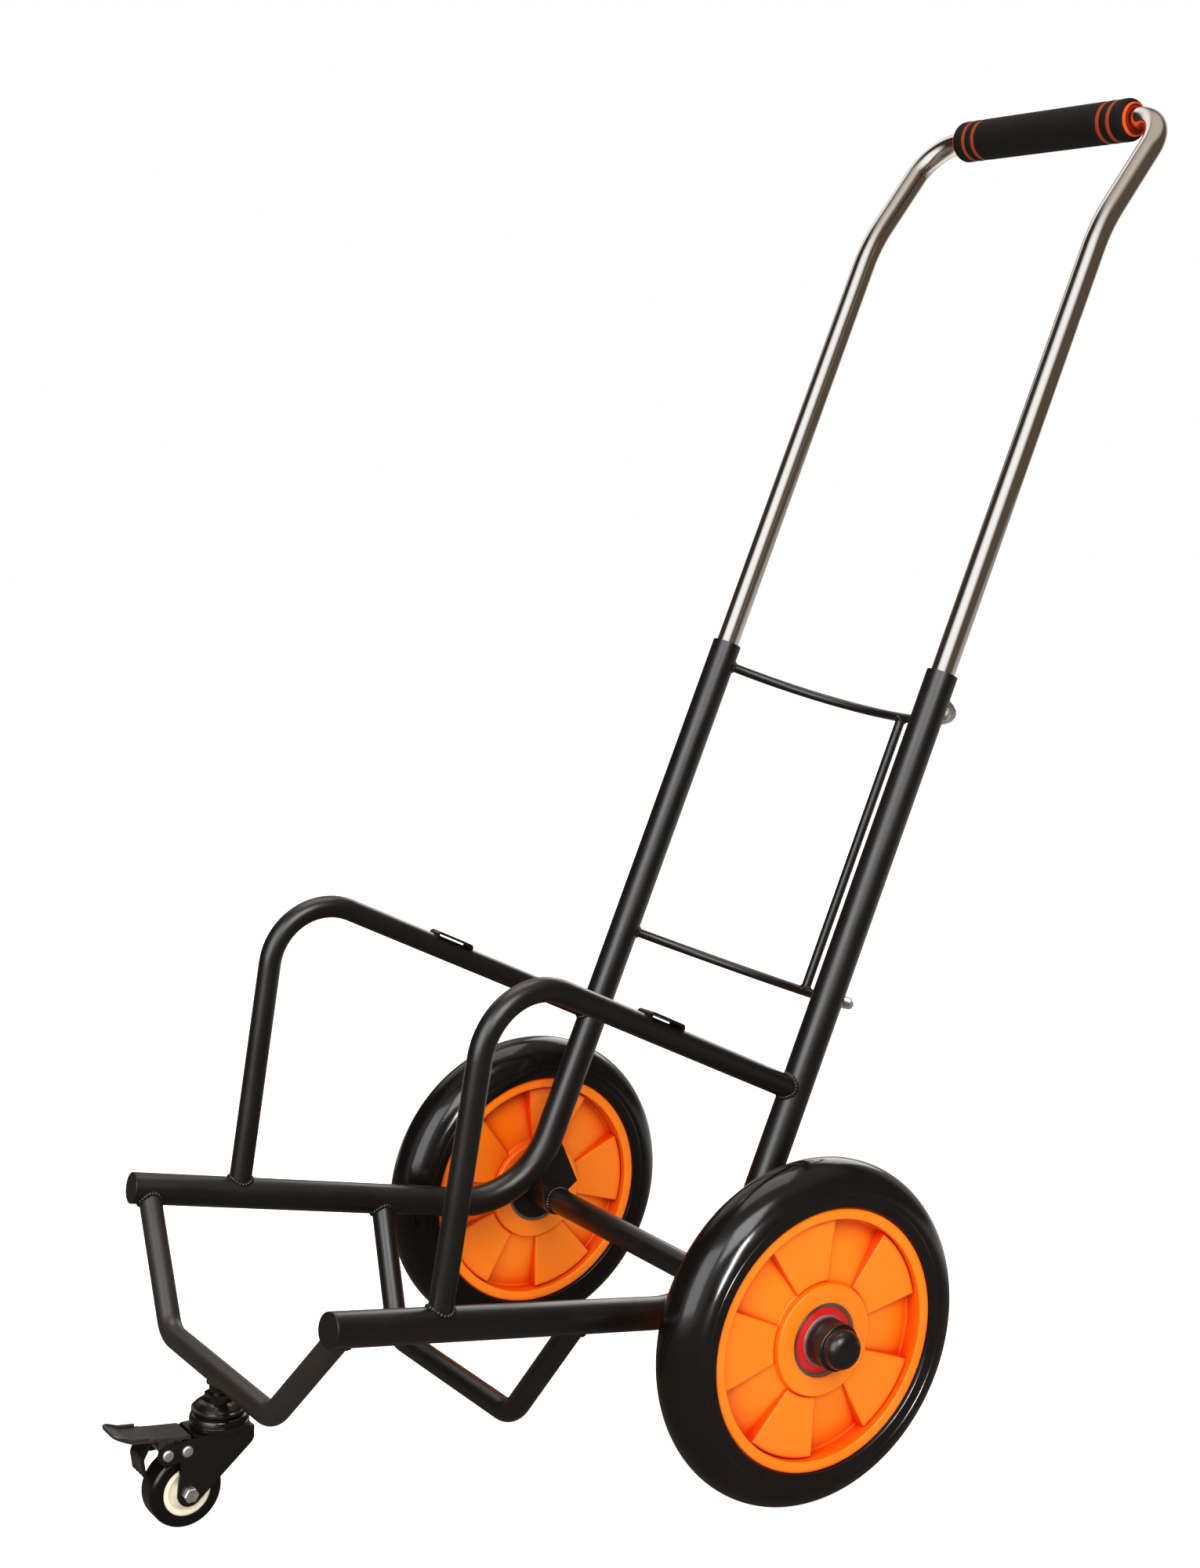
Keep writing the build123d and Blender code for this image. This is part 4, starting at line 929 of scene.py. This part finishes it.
# Rolled edge of the brake pedal. The pressed sheet is turned over along its tip and sides, so
# that a shoe does not catch on a raw edge; its enamel is worn like the pedal's.
pedal_low, pedal_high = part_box("brake_pedal")
rolled_radius = 1.2
# The roll's middle lies inside the sheet's outline by these shares of its radius.
tip_inset = 0.6
side_inset = 0.5
pedal_tip = pedal_low.y * 1000 + rolled_radius * tip_inset
pedal_side = pedal_high.x * 1000 - rolled_radius * side_inset
tip_height = 82.6
shoulder_height = 76.9 + rolled_radius
shoulder_behind_tip = 12.0
neck_height = 76.6
neck_behind_tip = 25.0
edge_bends = [8.0, 6.5, 6.5, 8.0]
edge_line = rounded([(-pedal_side, pedal_tip + neck_behind_tip, neck_height),
                     (-pedal_side, pedal_tip + shoulder_behind_tip, shoulder_height),
                     (-pedal_side, pedal_tip, tip_height), (pedal_side, pedal_tip, tip_height),
                     (pedal_side, pedal_tip + shoulder_behind_tip, shoulder_height),
                     (pedal_side, pedal_tip + neck_behind_tip, neck_height)], edge_bends)
edge_shape = tube(edge_line, rolled_radius, sides=14)
new_piece("rolled_pedal_edge", edge_shape, worn_enamel, "brake")


# Small wheel. A solid black rubber tread like the tyres, pressed round a moulded cream nylon core
# with dished faces, which shines softly and glows a little. It runs on a steel sleeve.
tread_low, tread_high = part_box("caster_tread")
small_middle = (tread_low + tread_high) * 500
tread_corners = [(-11.0, 18.5), (-11.0, 25.2), (-8.4, 28.0), (8.4, 28.0), (11.0, 25.2), (11.0, 18.5)]
tread_radii = [0.2, 2.6, 4.5, 4.5, 2.6, 0.2]
tread = new_piece("cast_caster_tread", lathe(rounded_loop(tread_corners, tread_radii), small_middle),
                  tyre_rubber, "caster_wheel", sharp=50.0)
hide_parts("caster_tread")
core_cream = finish(
    "moulded_cream_nylon", ("#e8dcc2", "#f0e7d2"), roughness=(0.22, 0.34),
    patch_mm=10, grain_mm=0.6, bump_mm=0.02,
    shader={"IOR": 1.53, "Subsurface Weight": 0.15, "Subsurface Scale": 0.003})
core_half_profile = [(13.2, 5.2), (13.2, 7.2), (12.6, 7.9), (7.4, 8.4), (7.0, 9.0), (7.0, 12.4),
                     (7.4, 13.2), (9.9, 13.9), (10.5, 14.6), (10.5, 17.6), (10.1, 18.4)]
core_profile = core_half_profile + [(-across, radius) for across, radius in reversed(core_half_profile)]
core = new_piece("dished_caster_core", lathe(core_profile, small_middle, steps=80), core_cream,
                 "caster_wheel")
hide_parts("caster_core")
